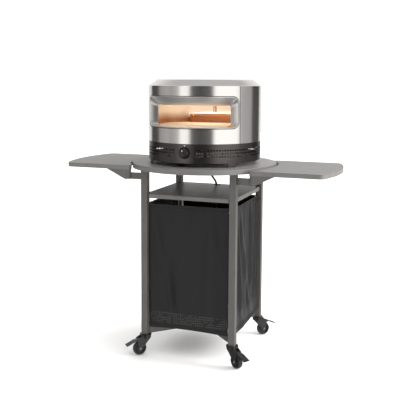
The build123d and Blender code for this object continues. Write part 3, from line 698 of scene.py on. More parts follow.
def arcPoints(centreRadius, centreAlong, radius, start, end, steps=6):
    # rounded corner of a turned profile, as (radius, along)
    found = []
    for step in range(steps + 1):
        turn = math.radians(start + (end - start) * step / steps)
        found.append((centreRadius + radius * math.sin(turn), centreAlong + radius * math.cos(turn)))
    return found


def bothSides(side, middle=()):
    # one side of a wheel's profile, its middle, the other side, and back to the start
    return side + list(middle) + [(radius, -along) for radius, along in reversed(side)] + side[:1]


def makeWheel(corner):
    c = casterSet
    outer, half = c["wheelRadius"], c["wheelHalf"]
    centre = (c["trail"], 0, outer)
    side = [(radius, half - inset) for radius, inset in c["tyreWall"]]
    side += arcPoints(outer - c["shoulderIn"], half - c["shoulder"], c["shoulder"], 10, 80)
    side.append((outer - c["crownDrop"], half * 0.35))
    tyre = latheMesh("tyre", bothSides(side, [(outer, 0.0)]), (0, 1, 0), centre, 72, 40)
    face = [(radius, half - inset) for radius, inset in c["rim"]]
    rim = latheMesh("rim", bothSides(face), (0, 1, 0), centre, 72, 30)
    for mesh in (tyre, rim):
        mesh.transform(cornerMatrix(corner))
    wheel = "wheel_" + corner
    addPiece("tyre_" + corner, tyre, "tyreRubber", wheel, "tyre", "caster_wheel_" + corner)
    addPiece("rim_" + corner, rim, "blackPlastic", wheel, "black_plastic")


def makeAxleCaps(corner):
    # domed axle heads outside the fork plates
    c = casterSet
    joined = bmesh.new()
    for side in (-1, 1):
        centre = (c["trail"], side * c["axleHeadAt"], c["wheelRadius"])
        mesh = latheMesh("cap", c["axleHead"], (0, side, 0), centre, 32)
        joined.from_mesh(mesh)
        bpy.data.meshes.remove(mesh)
    mesh = bpy.data.meshes.new("axleCaps_" + corner)
    joined.to_mesh(mesh)
    joined.free()
    smoothed(mesh, 40)
    mesh.transform(cornerMatrix(corner))
    addPiece("axleCaps_" + corner, mesh, "platedSteel", "caster_" + corner, "zinc")


def makeRace(corner):
    # stacked ring seal between the leg and the fork's crown
    mesh = latheMesh("race", casterSet["race"], (0, 0, 1), (0, 0, 0), 64, 30)
    mesh.transform(cornerMatrix(corner))
    addPiece("race_" + corner, mesh, "blackPlastic", "cart", "black_plastic")


def makePedalTread(corner):
    # grip ribs across the pedal's sloping end
    c = casterSet
    drop = math.tan(c["pedalSlope"])
    topX, topZ = c["pedalTop"]
    points, faces = [], []
    for rib in range(c["ribCount"]):
        x = c["ribFirst"] + c["ribPitch"] * rib
        z = topZ - (x - topX) * drop
        for dx, dz in c["ribSection"]:
            for y in (-c["ribHalf"], c["ribHalf"]):
                points.append((x + dx, y, z + dz - dx * drop))
        base = rib * 8
        for a in (0, 2, 4, 6):
            b = (a + 2) % 8
            faces.append((base + a, base + a + 1, base + b + 1, base + b))
        faces += [(base, base + 2, base + 4, base + 6), (base + 1, base + 7, base + 5, base + 3)]
    mesh = outwards(meshFrom("pedalRibs", points, faces), merge=0)
    mesh.transform(cornerMatrix(corner))
    addPiece("pedalRibs_" + corner, mesh, "blackPlastic", "pedal_" + corner, "black_plastic")


for corner in casterSet["corners"]:
    softEdged("caster_fork_" + corner, 0.0008)
    softEdged("brake_pedal_" + corner, 0.0007)
    makeWheel(corner)
    makeAxleCaps(corner)
    makeRace(corner)
    makePedalTread(corner)
print("casters made")

# control knob
knobSet = {
    "centre": (0.0, 0.0, 0.949),
    "back": 0.2683,
    "radius": 0.022,
    "depth": 0.022,
    "stemRadius": 0.0045,
    # (in from the edge, forward of the back) of the foot, then (in, back from the face) of the shoulder
    "foot": [(0.0012, 0.0), (0.0, 0.0012), (0.0, 0.004), (0.0016, 0.0052)],
    "shoulder": [(0.0030, 0.0022), (0.0042, 0.0006), (0.0062, 0.0)],
    "gripHeight": 0.006,
    "gripHalf": 0.0042,
    "gripEnd": 0.0052,
    "gripSunk": 0.001,
    "gripEdge": (0.0014, 0.0006),
    "gripTopInset": 0.0022,
    "pointerHalf": 0.0009,
    "pointerReach": (0.008, 0.0145),
}


def makeGrip(reach, levels):
    # raised bar with round ends across the knob's face
    k = knobSet
    points = []
    steps = 12
    for level, inset in levels:
        wide = k["gripHalf"] - inset
        for end in (1, -1):
            for step in range(steps + 1):
                turn = math.radians(-90 + 180 * step / steps)
                z = end * (reach - k["gripHalf"] + wide * math.cos(turn))
                points.append((end * wide * math.sin(turn), -(k["back"] + level), k["centre"][2] + z))
    count = 2 * (steps + 1)
    top = (len(levels) - 1) * count
    return meshFrom("grip", points, ringFaces(len(levels), count) + [tuple(range(top, top + count))])


def makeKnob():
    k = knobSet
    back, deep, radius = k["back"], k["depth"], k["radius"]
    face = deep - k["gripHeight"]
    profile = [(k["stemRadius"], back + 0.001)]
    profile += [(radius - inset, back + forward) for inset, forward in k["foot"]]
    profile += [(radius - inset, back + face - behind) for inset, behind in k["shoulder"]]
    profile.append((0.0, back + face))
    knob = latheMesh("controlKnob", profile, (0, -1, 0), k["centre"], 96, 40)
    edgeDown, edgeIn = k["gripEdge"]
    levels = [(face - k["gripSunk"], 0.0), (deep - edgeDown, edgeIn), (deep, k["gripTopInset"])]
    outwards(knob, merge=0, joined=makeGrip(radius - k["gripEnd"], levels))
    smoothed(knob, 40)
    addPiece("controlKnob", knob, "blackPlastic", "control_knob_body", "black_plastic", "control_knob")
    half = k["pointerHalf"]
    low, high = k["pointerReach"]
    corners = [(-half, low), (half, low), (half, high), (-half, high)]
    points = [(x, -(back + deep + 0.0001), k["centre"][2] + z) for x, z in corners]
    mark = meshFrom("pointer", points, [(0, 1, 2, 3)])
    pointer = addObject("knobPointer", mark, finishes["paleMark"])
    thickened(pointer, 0.0002)
    finishPiece(pointer, "control_knob_body", "black_plastic")


bezelSet = {
    "face": 0.2640,
    # (radius, back from the face)
    "profile": [
        (0.0065, 0.006), (0.0065, 0.0012), (0.0225, 0.0012), (0.0236, 0.0004),
        (0.0250, 0.0), (0.0262, 0.0008), (0.0265, 0.0020), (0.0265, 0.0052),
    ],
    "markRadius": 0.0022,
    "markPlace": (-0.26025, 0.9795),
}


def makeKnobBezel():
    b = bezelSet
    profile = [(radius, b["face"] - behind) for radius, behind in b["profile"]]
    mesh = latheMesh("knobBezel", profile, (0, -1, 0), knobSet["centre"], 96, 35)
    addPiece("knobBezel", mesh, "blackPlastic", "cart", "black_plastic", "knob_bezel")
    # small off mark above the knob
    y, z = b["markPlace"]
    sides = 24
    points = []
    for step in range(sides):
        angle = 2 * math.pi * step / sides
        points.append((b["markRadius"] * math.cos(angle), y, z + b["markRadius"] * math.sin(angle)))
    mark = addObject("offMark", meshFrom("offMark", points, [tuple(range(sides))]), finishes["paleMark"])
    thickened(mark, 0.0002)
    finishPiece(mark, "cart", "dark_steel")


# oven shell
ovenSet = {
    "radius": 0.260,
    "wall": 0.0015,
    "shellLow": 0.988,
    "shellHigh": 1.238,
    "top": 1.267,
    "crownRadius": 0.222,
    "seamAngle": 56.0,
    "seamGap": 0.55,
    "mouthAngle": 53.8,
    "mouthLow": 1.059,
    "mouthHigh": 1.189,
    "mouthFillet": 0.026,
    "innerRadius": 0.2255,
    "innerAngle": 50.0,
    "innerLow": 1.060,
    "innerHigh": 1.154,
    "innerFillet": 0.016,
    "beadRise": 0.0022,
    "beadGap": 0.0022,
    "beadOutside": 0.0045,
    "beadInside": 0.0005,
    # (way across the bead, share of its rise)
    "bead": [(0.15, 0.65), (0.4, 1.0), (0.7, 0.85), (1.0, 0.2)],
    "bezelWall": 0.001,
    # painted shade: depth, wall and outlines of the dark sheets set behind the mouth's bead and the seams
    "shadeSheetDeep": 0.0035,
    "shadeSheetWall": 0.0008,
    "mouthGasket": (0.010, 0.003),
    "seamStrip": (-0.7, 0.3, 1.3),
    "topEdge": 0.003,
}


def onCylinder(radius, angle, z):
    turn = math.radians(angle)
    return (radius * math.sin(turn), -radius * math.cos(turn), z)


def roundedLoop(halfAngle, low, high, fillet, radius, sideSteps=(56, 20), cornerSteps=10):
    # closed loop of (angle, height) round a mouth, counter-clockwise seen from the front
    toAngle = math.degrees(1 / radius)
    reach = fillet * toAngle
    corners = [
        (halfAngle - reach, high - fillet, 0),
        (-halfAngle + reach, high - fillet, 90),
        (-halfAngle + reach, low + fillet, 180),
        (halfAngle - reach, low + fillet, 270),
    ]
    loop = []
    for index, (angle, z, start) in enumerate(corners):
        for step in range(cornerSteps):
            turn = math.radians(start + 90 * step / cornerSteps)
            loop.append((angle + reach * math.cos(turn), z + fillet * math.sin(turn)))
        end = math.radians(start + 90)
        first = (angle + reach * math.cos(end), z + fillet * math.sin(end))
        nextAngle, nextZ, nextStart = corners[(index + 1) % 4]
        begin = math.radians(nextStart)
        second = (nextAngle + reach * math.cos(begin), nextZ + fillet * math.sin(begin))
        steps = sideSteps[index % 2]
        for step in range(steps):
            loop.append(tuple(between(a, b, step / steps) for a, b in zip(first, second)))
    return loop


def ringMesh(name, rings):
    # a surface through rings of points of equal count
    points = [point for ring in rings for point in ring]
    return meshFrom(name, points, ringFaces(len(rings), len(rings[0])))


def ringAt(radius, first, second, t):
    # a ring part of the way from one loop to another
    return [
        onCylinder(radius, between(a, b, t), between(z, w, t))
        for (a, z), (b, w) in zip(first, second)
    ]


def faceOut(mesh, index):
    # turns the surface round if one of its faces looks at the oven's axis
    face = mesh.polygons[index]
    if face.normal.dot(Vector((face.center.x, face.center.y, 0))) < 0:
        mesh.flip_normals()


def mouthLoop(grow=0.0):
    s = ovenSet
    angle = s["mouthAngle"] + math.degrees(grow / s["radius"])
    low, high = s["mouthLow"] - grow, s["mouthHigh"] + grow
    return roundedLoop(angle, low, high, s["mouthFillet"] + grow, s["radius"])


def makeFrontPanel():
    s = ovenSet
    hole = mouthLoop(s["beadOutside"] + s["beadGap"])
    outer = roundedLoop(s["seamAngle"], s["shellLow"], s["shellHigh"], 0.001, s["radius"])
    steps = 14
    rings = [ringAt(s["radius"], hole, outer, step / steps) for step in range(steps + 1)]
    mesh = outwards(ringMesh("frontPanel", rings))
    faceOut(mesh, 0)
    obj = addSheet("frontPanel", smoothed(mesh, 30), "shellSteel", s["wall"])
    finishPiece(obj, "cart", "shell_steel", "front_panel")


def makeRearShell():
    s = ovenSet
    start = s["seamAngle"] + s["seamGap"]
    columns, rows = 150, 8
    points = []
    for row in range(rows + 1):
        z = s["shellLow"] + (s["shellHigh"] - s["shellLow"]) * row / rows
        for column in range(columns + 1):
            points.append(onCylinder(s["radius"], start + (360 - 2 * start) * column / columns, z))
    mesh = smoothed(meshFrom("rearShell", points, gridFaces(rows, columns)), 30)
    obj = addSheet("rearShell", mesh, "shellSteel", s["wall"])
    finishPiece(obj, "cart", "shell_steel", "rear_shell")


def turnedProfile(name, profile, segments=192):
    # lathe round the oven's axis; a profile runs from the outside foot to the centre of the top
    rings = [
        [onCylinder(max(radius, 0.0), 360 * segment / segments, z) for segment in range(segments)]
        for radius, z in profile
    ]
    return outwards(ringMesh(name, rings))


def makeTopCover():
    s = ovenSet
    edge = s["topEdge"]
    foot, crown = (s["radius"], s["shellHigh"]), (s["crownRadius"], s["top"])
    slope = Vector((crown[0] - foot[0], crown[1] - foot[1])).normalized()
    profile = [
        foot,
        (foot[0] + 0.0004, foot[1] + 0.0012),
        (foot[0] + slope.x * 0.004, foot[1] + slope.y * 0.004),
    ]
    steps = 6
    profile += [tuple(between(a, b, step / steps) for a, b in zip(foot, crown)) for step in range(1, steps)]
    profile += [
        (crown[0] - slope.x * edge, crown[1] - slope.y * edge),
        (crown[0], crown[1] - 0.0007),
        (crown[0] - edge, crown[1]),
        (crown[0] * 0.6, crown[1]),
        (crown[0] * 0.2, crown[1]),
        (0.0, crown[1]),
    ]
    mesh = smoothed(turnedProfile("topCover", profile), 50)
    obj = addSheet("topCover", mesh, "shellSteel", s["wall"], 50)
    finishPiece(obj, "cart", "shell_steel", "top_cover")


def makeBezel():
    s = ovenSet
    outer = mouthLoop(s["beadOutside"])
    edge = mouthLoop(-s["beadInside"])
    inner = roundedLoop(s["innerAngle"], s["innerLow"], s["innerHigh"], s["innerFillet"], s["innerRadius"])
    # rolled bead over the panel's cut edge
    rings = [ringAt(s["radius"] + 0.0002, outer, outer, 0)]
    rings += [ringAt(s["radius"] + s["beadRise"] * lift, outer, edge, t) for t, lift in s["bead"]]
    steps = 8
    for step in range(1, steps + 1):
        t = step / steps
        sweep = t + 0.10 * math.sin(math.pi * t)
        rings.append(ringAt(between(s["radius"], s["innerRadius"], t), edge, inner, min(1, sweep)))
    mesh = smoothed(ringMesh("mouthBezel", rings), 60)
    obj = addObject("mouthBezel", mesh, finishes["bezelSteel"])
    mesh.update()
    faceOut(mesh, len(rings[0]) + 5)
    applied(thickened(obj, s["bezelWall"]), 60)
    finishPiece(obj, "cart", "shell_steel", "mouth_bezel")


def makeGapShades():
    # painted shade: dark sheets behind the mouth's bead and the shell's two seams, where the gaps lie in
    # shadow
    s = ovenSet
    deep = s["radius"] - s["shadeSheetDeep"]
    loops = [mouthLoop(grow) for grow in s["mouthGasket"]]
    mesh = outwards(ringMesh("mouthGasket", [ringAt(deep, loop, loop, 0) for loop in loops]))
    mouthShade = addSheet("mouthGasket", smoothed(mesh, 60), "gasketRope", s["shadeSheetWall"], 60)
    finishPiece(mouthShade, "cart", "dark_steel")
    points, faces = [], []
    steps = 6
    low, high = s["shellLow"] + 0.001, s["shellHigh"] - 0.001
    for side in (-1, 1):
        base = len(points)
        for step in range(steps + 1):
            for offset in s["seamStrip"]:
                angle = side * (s["seamAngle"] + offset)
                points.append(onCylinder(deep, angle, between(low, high, step / steps)))
        for a, b, c, d in gridFaces(steps, 2):
            quad = (a, b, c, d) if side > 0 else (a, d, c, b)
            faces.append(tuple(base + corner for corner in quad))
    mesh = smoothed(meshFrom("seamStrips", points, faces), 60)
    strips = addSheet("seamStrips", mesh, "gasketRope", s["shadeSheetWall"], 60)
    finishPiece(strips, "cart", "dark_steel")


igniterSet = {
    "tabHalf": 0.0085,
    "tabHigh": 0.028,
    "tabWall": 0.0012,
    "tabCorner": 0.003,
    "rodRadius": 0.0022,
    "wireRadius": 0.4,
    "rodAhead": 0.0035,
}


def makeIgniter():
    # steel tab with a ceramic rod in front of it
    g = igniterSet
    low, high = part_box("ignition_electrode")
    x, y = (low[0] + high[0]) / 2, (low[1] + high[1]) / 2
    top, tall, corner = high[2], g["tabHigh"], g["tabCorner"]
    middle = top - tall / 2
    outline = []
    for sideX, sideZ, start in ((1, 1, 0), (-1, 1, 90), (-1, -1, 180), (1, -1, 270)):
        for step in range(5):
            turn = math.radians(start + 90 * step / 4)
            outline.append((
                x + sideX * (g["tabHalf"] - corner) + corner * math.cos(turn),
                y,
                middle + sideZ * (tall / 2 - corner) + corner * math.sin(turn),
            ))
    tab = meshFrom("igniterTab", outline, [tuple(range(len(outline)))])
    obj = addSheet("igniterTab", tab, "guardSteel", g["tabWall"])
    finishPiece(obj, "cart", "liner_steel", "ignition_electrode")
    radius, wire = g["rodRadius"], g["rodRadius"] * g["wireRadius"]
    profile = [
        (0.0, 0.0), (radius, 0.0), (radius, tall - 0.006),
        (wire, tall - 0.004), (wire, tall + 0.001), (0.0, tall + 0.001),
    ]
    rod = latheMesh("igniterRod", profile, (0, 0, 1), (x, y - g["rodAhead"], top - tall - 0.001), 24)
    addPiece("igniterRod", rod, "firedStone", "cart", "liner_steel")


makeFrontPanel()
makeRearShell()
makeGapShades()
makeIgniter()
makeTopCover()
makeBezel()
makeKnob()
makeKnobBezel()
print("oven shell made")

# perforated skirt
skirtSet = {
    "low": 0.903,
    "high": 0.988,
    "rows": (0.933, 0.9465, 0.960),
    "rowPitch": 0.0135,
    "holeRadius": 0.0043,
    "pitch": 2.8,
    "plainFront": 11.3,
    "wall": 0.0015,
}


def holeTile():
    # one flat tile of sheet with a round hole, centred on the origin and facing -Y
    s = skirtSet
    halfWidth = ovenSet["radius"] * math.tan(math.radians(s["pitch"] / 2))
    halfHeight = s["rowPitch"] / 2
    count = 16
    outer, inner = [], []
    for index in range(count):
        turn = 2 * math.pi * (index + 0.5) / count
        x, z = math.cos(turn), math.sin(turn)
        reach = 1 / max(abs(x), abs(z))
        outer.append((x * reach * halfWidth, z * reach * halfHeight))
        inner.append((x * s["holeRadius"], z * s["holeRadius"]))
    # the tile's true corners
    for index, (x, z) in enumerate(outer):
        if index in (1, 6, 9, 14):
            outer[index] = (math.copysign(halfWidth, x), math.copysign(halfHeight, z))
    points, faces = [], []
    for depth in (0.0, s["wall"]):
        points += [(x, depth, z) for x, z in outer]
        points += [(x, depth, z) for x, z in inner]
    for index in range(count):
        after = (index + 1) % count
        faces.append((index, after, count + after, count + index))
        faces.append((2 * count + after, 2 * count + index, 3 * count + index, 3 * count + after))
        faces.append((count + index, count + after, 3 * count + after, 3 * count + index))
    return addObject("holeTile", meshFrom("holeTile", points, faces))


def perforationTree(tile, material):
    # places the tile round the oven, row above row
    tree = bpy.data.node_groups.new("perforations", "GeometryNodeTree")
    face = tree.interface
    face.new_socket("Geometry", in_out="INPUT", socket_type="NodeSocketGeometry")
    for label, kind in (
        ("Radius", "NodeSocketFloat"),
        ("First Angle", "NodeSocketFloat"),
        ("Angle Pitch", "NodeSocketFloat"),
        ("Columns", "NodeSocketInt"),
        ("Rows", "NodeSocketInt"),
        ("First Height", "NodeSocketFloat"),
        ("Row Pitch", "NodeSocketFloat"),
    ):
        face.new_socket(label, in_out="INPUT", socket_type=kind)
    face.new_socket("Geometry", in_out="OUTPUT", socket_type="NodeSocketGeometry")
    start = tree.nodes.new("NodeGroupInput").outputs
    end = tree.nodes.new("NodeGroupOutput")
    index = tree.nodes.new("GeometryNodeInputIndex").outputs[0]
    row = mathNode(tree, "FLOOR", mathNode(tree, "DIVIDE", index, start["Columns"]))
    column = mathNode(tree, "MODULO", index, start["Columns"])
    angle = plus(tree, start["First Angle"], times(tree, column, start["Angle Pitch"]))
    x = times(tree, mathNode(tree, "SINE", angle), start["Radius"])
    y = times(tree, times(tree, mathNode(tree, "COSINE", angle), start["Radius"]), -1)
    z = plus(tree, start["First Height"], times(tree, row, start["Row Pitch"]))
    place = addNode(tree, "ShaderNodeCombineXYZ", X=x, Y=y, Z=z).outputs[0]
    turn = addNode(tree, "ShaderNodeCombineXYZ", Z=angle).outputs[0]
    total = times(tree, start["Columns"], start["Rows"])
    points = addNode(tree, "GeometryNodePoints", Count=total, Position=place).outputs[0]
    shape = addNode(tree, "GeometryNodeObjectInfo", Object=tile).outputs["Geometry"]
    spread = addNode(tree, "GeometryNodeInstanceOnPoints", Points=points, Instance=shape, Rotation=turn)
    real = addNode(tree, "GeometryNodeRealizeInstances", Geometry=spread.outputs[0])
    join = addNode(tree, "GeometryNodeJoinGeometry", Geometry=real.outputs[0])
    tree.links.new(start["Geometry"], join.inputs[0])
    weld = addNode(tree, "GeometryNodeMergeByDistance", Geometry=join.outputs[0], Distance=0.0002)
    paint = addNode(tree, "GeometryNodeSetMaterial", Geometry=weld.outputs[0], Material=material)
    tree.links.new(paint.outputs[0], end.inputs[0])
    return tree


def setInput(modifier, label, value):
    for item in modifier.node_group.interface.items_tree:
        if item.item_type == "SOCKET" and item.in_out == "INPUT" and item.name == label:
            modifier[item.identifier] = value


def plainBands(columns, firstAngle, rowLow, rowHigh):
    # bands above and below the holes, and the plain front between them
    s = skirtSet
    radius = ovenSet["radius"] / math.cos(math.radians(s["pitch"] / 2))
    holed = [firstAngle - s["pitch"] / 2 + s["pitch"] * index for index in range(columns + 1)]
    front = []
    gap = 360 - s["pitch"] * columns
    steps = 12
    for step in range(1, steps):
        front.append(holed[-1] + gap * step / steps)
    angles = holed + front
    count = len(angles)
    points, faces = [], []

    def level(z, inset):
        base = len(points)
        for angle in angles:
            points.append(onCylinder(radius - inset, angle, z))
        return base

    outer = {z: level(z, 0) for z in (s["low"], rowLow, rowHigh, s["high"])}
    inner = {z: level(z, s["wall"]) for z in (s["low"], rowLow, rowHigh, s["high"])}

    def strip(a, b, flip, indices):
        for index in indices:
            after = (index + 1) % count
            quad = (a + index, a + after, b + after, b + index)
            faces.append(quad[::-1] if flip else quad)

    every = range(count)
    plain = range(columns, count)
    for low, high, span in ((s["low"], rowLow, every), (rowHigh, s["high"], every)):
        strip(outer[low], outer[high], False, span)
        strip(inner[low], inner[high], True, span)
    for offset in range(3):
        a = rowLow + (rowHigh - rowLow) * offset / 3
        b = rowLow + (rowHigh - rowLow) * (offset + 1) / 3
        for inset, flip in ((0, False), (s["wall"], True)):
            strip(level(a, inset), level(b, inset), flip, plain)
    strip(inner[s["low"]], outer[s["low"]], False, every)
    strip(outer[s["high"]], inner[s["high"]], False, every)
    mesh = meshFrom("baseSkirt", points, faces)
    loose = bmesh.new()
    loose.from_mesh(mesh)
    bmesh.ops.delete(loose, geom=[v for v in loose.verts if not v.link_faces], context="VERTS")
    loose.to_mesh(mesh)
    loose.free()
    return mesh


def makeSkirt():
    s = skirtSet
    columns = int((360 - 2 * s["plainFront"]) / s["pitch"]) + 1
    firstAngle = 180 - (columns - 1) / 2 * s["pitch"]
    rowLow = s["rows"][0] - s["rowPitch"] / 2
    rowHigh = s["rows"][-1] + s["rowPitch"] / 2
    tile = holeTile()
    bands = addObject("skirtBands", plainBands(columns, firstAngle, rowLow, rowHigh))
    modifier = bands.modifiers.new("holes", "NODES")
    modifier.node_group = perforationTree(tile, finishes["skirtSteel"])
    for label, value in (
        ("Radius", ovenSet["radius"]),
        ("First Angle", math.radians(firstAngle)),
        ("Angle Pitch", math.radians(s["pitch"])),
        ("Columns", columns),
        ("Rows", len(s["rows"])),
        ("First Height", s["rows"][0]),
        ("Row Pitch", s["rowPitch"]),
    ):
        setInput(modifier, label, value)
    bands.update_tag()
    depsgraph = bpy.context.evaluated_depsgraph_get()
    mesh = bpy.data.meshes.new_from_object(bands.evaluated_get(depsgraph))
    mesh.name = "baseSkirt"
    smoothed(mesh, 25)
    bpy.data.objects.remove(bands)
    bpy.data.objects.remove(tile)
    # the tree has already set the material
    finishPiece(addObject("baseSkirt", mesh), "cart", "dark_steel", "base_skirt")


makeSkirt()
print("skirt made")

# cloth panels
panelSet = {
    "face": 0.2094,
    "halfWidth": 0.190,
    "top": 0.706,
    "bottom": 0.131,
    "across": 46,
    "down": 70,
    "steps": 34,
    "thickness": 0.0009,
    "proud": 0.012,
    "creaseKept": 0.9,
    # (waves across, waves up, share of the seed, strength)
    "ripples": [(9, 0, 1, 0.5), (17, 0, 2.3, 0.3), (5, 4, 1, 0.4)],
    "rippleDeep": 0.0012,
    # heights of the two press studs on each side, and how far round them the edge is held
    "studs": (0.035, 0.97),
    "studReach": 0.03,
}
clothPhysics = {
    "quality": 6,
    "mass": 0.25,
    "tension_stiffness": 40,
    "compression_stiffness": 40,
    "shear_stiffness": 12,
    "bending_stiffness": 1.2,
    "air_damping": 4,
    "vertex_group_mass": "pins",
}
# arch: how far the hem rises in mid-span; tucks: (foot, head, height, width) of each soft crease, where
# foot and head are (across, up), from -1 to 1 across and from 0 to 1 up
panelKinds = {
    "front": {
        "turn": 0,
        "fullness": 0.010,
        "arch": 0.007,
        "seed": 1.3,
        "tucks": [
            ((-0.35, 0.15), (-0.95, 1.0), 0.0055, 0.10),
            ((-0.62, 0.30), (-0.90, 0.75), 0.0035, 0.06),
            ((0.15, 0.95), (-0.25, 0.80), 0.0022, 0.10),
            ((0.95, 0.45), (0.55, 0.85), 0.0025, 0.10),
        ],
    },
    "right": {
        "turn": 90,
        "fullness": 0.05,
        "arch": -0.007,
        "seed": 4.1,
        "tucks": [
            ((-0.38, 0.15), (-0.86, 0.99), 0.0085, 0.085),
            ((0.30, 0.10), (-0.62, 0.99), 0.0070, 0.075),
            ((0.42, 0.30), (0.30, 0.99), 0.0080, 0.085),
            ((0.72, 0.20), (0.88, 0.99), 0.0075, 0.07),
            ((0.75, 0.12), (-0.35, 0.02), 0.0060, 0.08),
        ],
    },
    "rear": {
        "turn": 180,
        "fullness": 0.03,
        "arch": 0.006,
        "seed": 2.2,
        "tucks": [((-0.5, 0.1), (-0.8, 1.0), 0.006, 0.09), ((0.3, 0.1), (0.6, 1.0), 0.006, 0.09)],
    },
    "left": {
        "turn": 270,
        "fullness": 0.04,
        "arch": 0.006,
        "seed": 5.7,
        "tucks": [((-0.3, 0.1), (-0.7, 1.0), 0.007, 0.08), ((0.5, 0.1), (0.2, 1.0), 0.006, 0.09)],
    },
}


def tuckDepth(kind, u, v):
    # soft creases: a rounded ridge along each line from its foot to its head
    depth = 0.0
    for (footU, footV), (headU, headV), height, width in kind["tucks"]:
        along = Vector((headU - footU, headV - footV))
        reach = along.length
        along.normalize()
        offset = Vector((u - footU, v - footV))
        run = offset.dot(along) / reach
        away = abs(offset.x * along.y - offset.y * along.x)
        fade = max(0.0, min(1.0, min(run + 0.15, 1.15 - run) / 0.3))
        fade = fade * fade * (3 - 2 * fade)
        # a ridge, with a shallow hollow on either side
        ridge = math.exp(-((away / width) ** 2))
        hollow = 0.45 * math.exp(-((away / (2.2 * width)) ** 2))
        depth += height * fade * (ridge - hollow)
    return depth


def panelCut(kind):
    # (along, up) of the flat cut, before it is hung
    s = panelSet
    full = 1 + kind["fullness"]
    cut = []
    for row in range(s["down"] + 1):
        for column in range(s["across"] + 1):
            u = column / s["across"] * 2 - 1
            v = row / s["down"]
            low = s["bottom"] + kind["arch"] * (1 - u * u)
            cut.append((u * s["halfWidth"] * full, low + (s["top"] - low) * v))
    return cut


def panelPoint(kind, along, out, up):
    turn = math.radians(kind["turn"])
    x, y = along, -(panelSet["face"] + out)
    return (x * math.cos(turn) - y * math.sin(turn), x * math.sin(turn) + y * math.cos(turn), up)


def panelShare(kind, along, up):
    # place on the panel, from -1 to 1 across and from 0 to 1 up
    s = panelSet
    u = along / (1 + kind["fullness"]) / s["halfWidth"]
    return u, (up - s["bottom"]) / (s["top"] - s["bottom"])


def freeToMove(u, v):
    # 1 in the open cloth, 0 at its sides and top
    return (1 - abs(u) ** 6) * (1 - v ** 10)


def pinPanel(obj):
    s = panelSet
    width = s["across"] + 1
    pins = obj.vertex_groups.new(name="pins")
    pins.add([s["down"] * width + column for column in range(width)], 1.0, "REPLACE")
    for row in range(s["down"] + 1):
        level = row / s["down"]
        near = max(math.exp(-((level - stud) / s["studReach"]) ** 2) for stud in s["studs"])
        if near > 0.3:
            pins.add([row * width, row * width + s["across"]], near, "REPLACE")


def hangPanel(name, kind):
    s = panelSet
    cut = panelCut(kind)
    hungPoints, flatPoints = [], []
    for along, up in cut:
        u, v = panelShare(kind, along, up)
        ripple = sum(
            math.sin(across * u + rise * v + share * kind["seed"]) * strength
            for across, rise, share, strength in s["ripples"]
        )
        out = (s["rippleDeep"] * ripple + tuckDepth(kind, u, v)) * freeToMove(u, v)
        hungPoints.append(panelPoint(kind, along / (1 + kind["fullness"]), out, up))
        flatPoints.append(panelPoint(kind, along, 0, up))
    mesh = meshFrom("curtain" + name, hungPoints, gridFaces(s["down"], s["across"]))
    uv = mesh.uv_layers.new(name="UVMap")
    for loop in mesh.loops:
        along, up = cut[loop.vertex_index]
        uv.data[loop.index].uv = (along, up - s["bottom"])
    obj = addObject("curtain" + name.capitalize(), mesh, finishes["coatedCloth"])
    obj.shape_key_add(name="hung")
    key = obj.shape_key_add(name="cut")
    for point, place in zip(key.data, flatPoints):
        point.co = place
    key.value = 0.0
    pinPanel(obj)
    cloth = obj.modifiers.new("cloth", "CLOTH")
    for setting, value in clothPhysics.items():
        setattr(cloth.settings, setting, value)
    cloth.settings.rest_shape_key = key
    cloth.collision_settings.use_collision = False
    cloth.collision_settings.use_self_collision = False
    cloth.point_cache.frame_end = s["steps"]
    return obj


def settlePanel(obj, kind):
    # the settled shape, kept near its plane and made plain mesh
    s = panelSet
    # the cloth keeps part of its creases once it has settled
    kept = s["creaseKept"]
    depsgraph = bpy.context.evaluated_depsgraph_get()
    mesh = bpy.data.meshes.new_from_object(obj.evaluated_get(depsgraph))
    turn = math.radians(kind["turn"])
    outDir = Vector((math.sin(turn), -math.cos(turn), 0))
    for vertex, (along, up) in zip(mesh.vertices, panelCut(kind)):
        settled = vertex.co.dot(outDir) - s["face"]
        u, v = panelShare(kind, along, up)
        out = settled + kept * tuckDepth(kind, u, v) * freeToMove(u, v)
        level = (vertex.co.z - s["bottom"]) / (s["top"] - s["bottom"])
        inner = -0.0004 if level > 0.96 else -0.012
        limited = max(inner, min(s["proud"], out))
        vertex.co += outDir * (limited - settled)
        vertex.co.z = max(vertex.co.z, s["bottom"] - 0.008)
    return mesh


def makePanels():
    s = panelSet
    hung = {name: hangPanel(name, kind) for name, kind in panelKinds.items()}
    for step in range(1, s["steps"] + 1):
        scene.frame_set(step)
    for name, kind in panelKinds.items():
        obj = hung[name]
        mesh = settlePanel(obj, kind)
        objName = obj.name
        bpy.data.objects.remove(obj)
        smoothed(mesh, 80)
        panel = addObject(objName, mesh, finishes["coatedCloth"])
        thickened(panel, s["thickness"], 0.0)
        smooth = panel.modifiers.new("smooth", "SUBSURF")
        smooth.levels = smooth.render_levels = 1
        finishPiece(panel, "cart", "cloth", "curtain_" + name)
    scene.frame_set(1)


makePanels()
print("cloth panels hung")

# studio
studioSet = {
    "floor": (0.93, 0.925, 0.92),
    "floorSeen": (0.66, 0.655, 0.65),
    "floorSize": 14.0,
    "around": 0.25,
    "above": 2.5,
    "beside": 2.6,
    "sideAim": (0.85, 0.30, 0.40),
    "backdrop": (1.0, 1.0, 1.0),
    "overhead": 0.50,
    # (direction round the object in degrees, brightness) seen in polished steel
    "bands": [
        (-180, 0.85), (-160, 0.95), (-123, 0.80), (-116, 0.06), (-90, 0.09), (-84, 0.34), (-60, 0.44),
        (-54, 0.36), (-36, 0.50), (-30, 1.15), (-14, 1.15), (-8, 0.12), (10, 0.075), (34, 0.13),
        (40, 1.25), (91, 1.2), (96, 0.42), (128, 0.36), (133, 0.065), (163, 0.06), (169, 0.8), (180, 0.85),
    ],
}
white = (1.0, 1.0, 1.0)
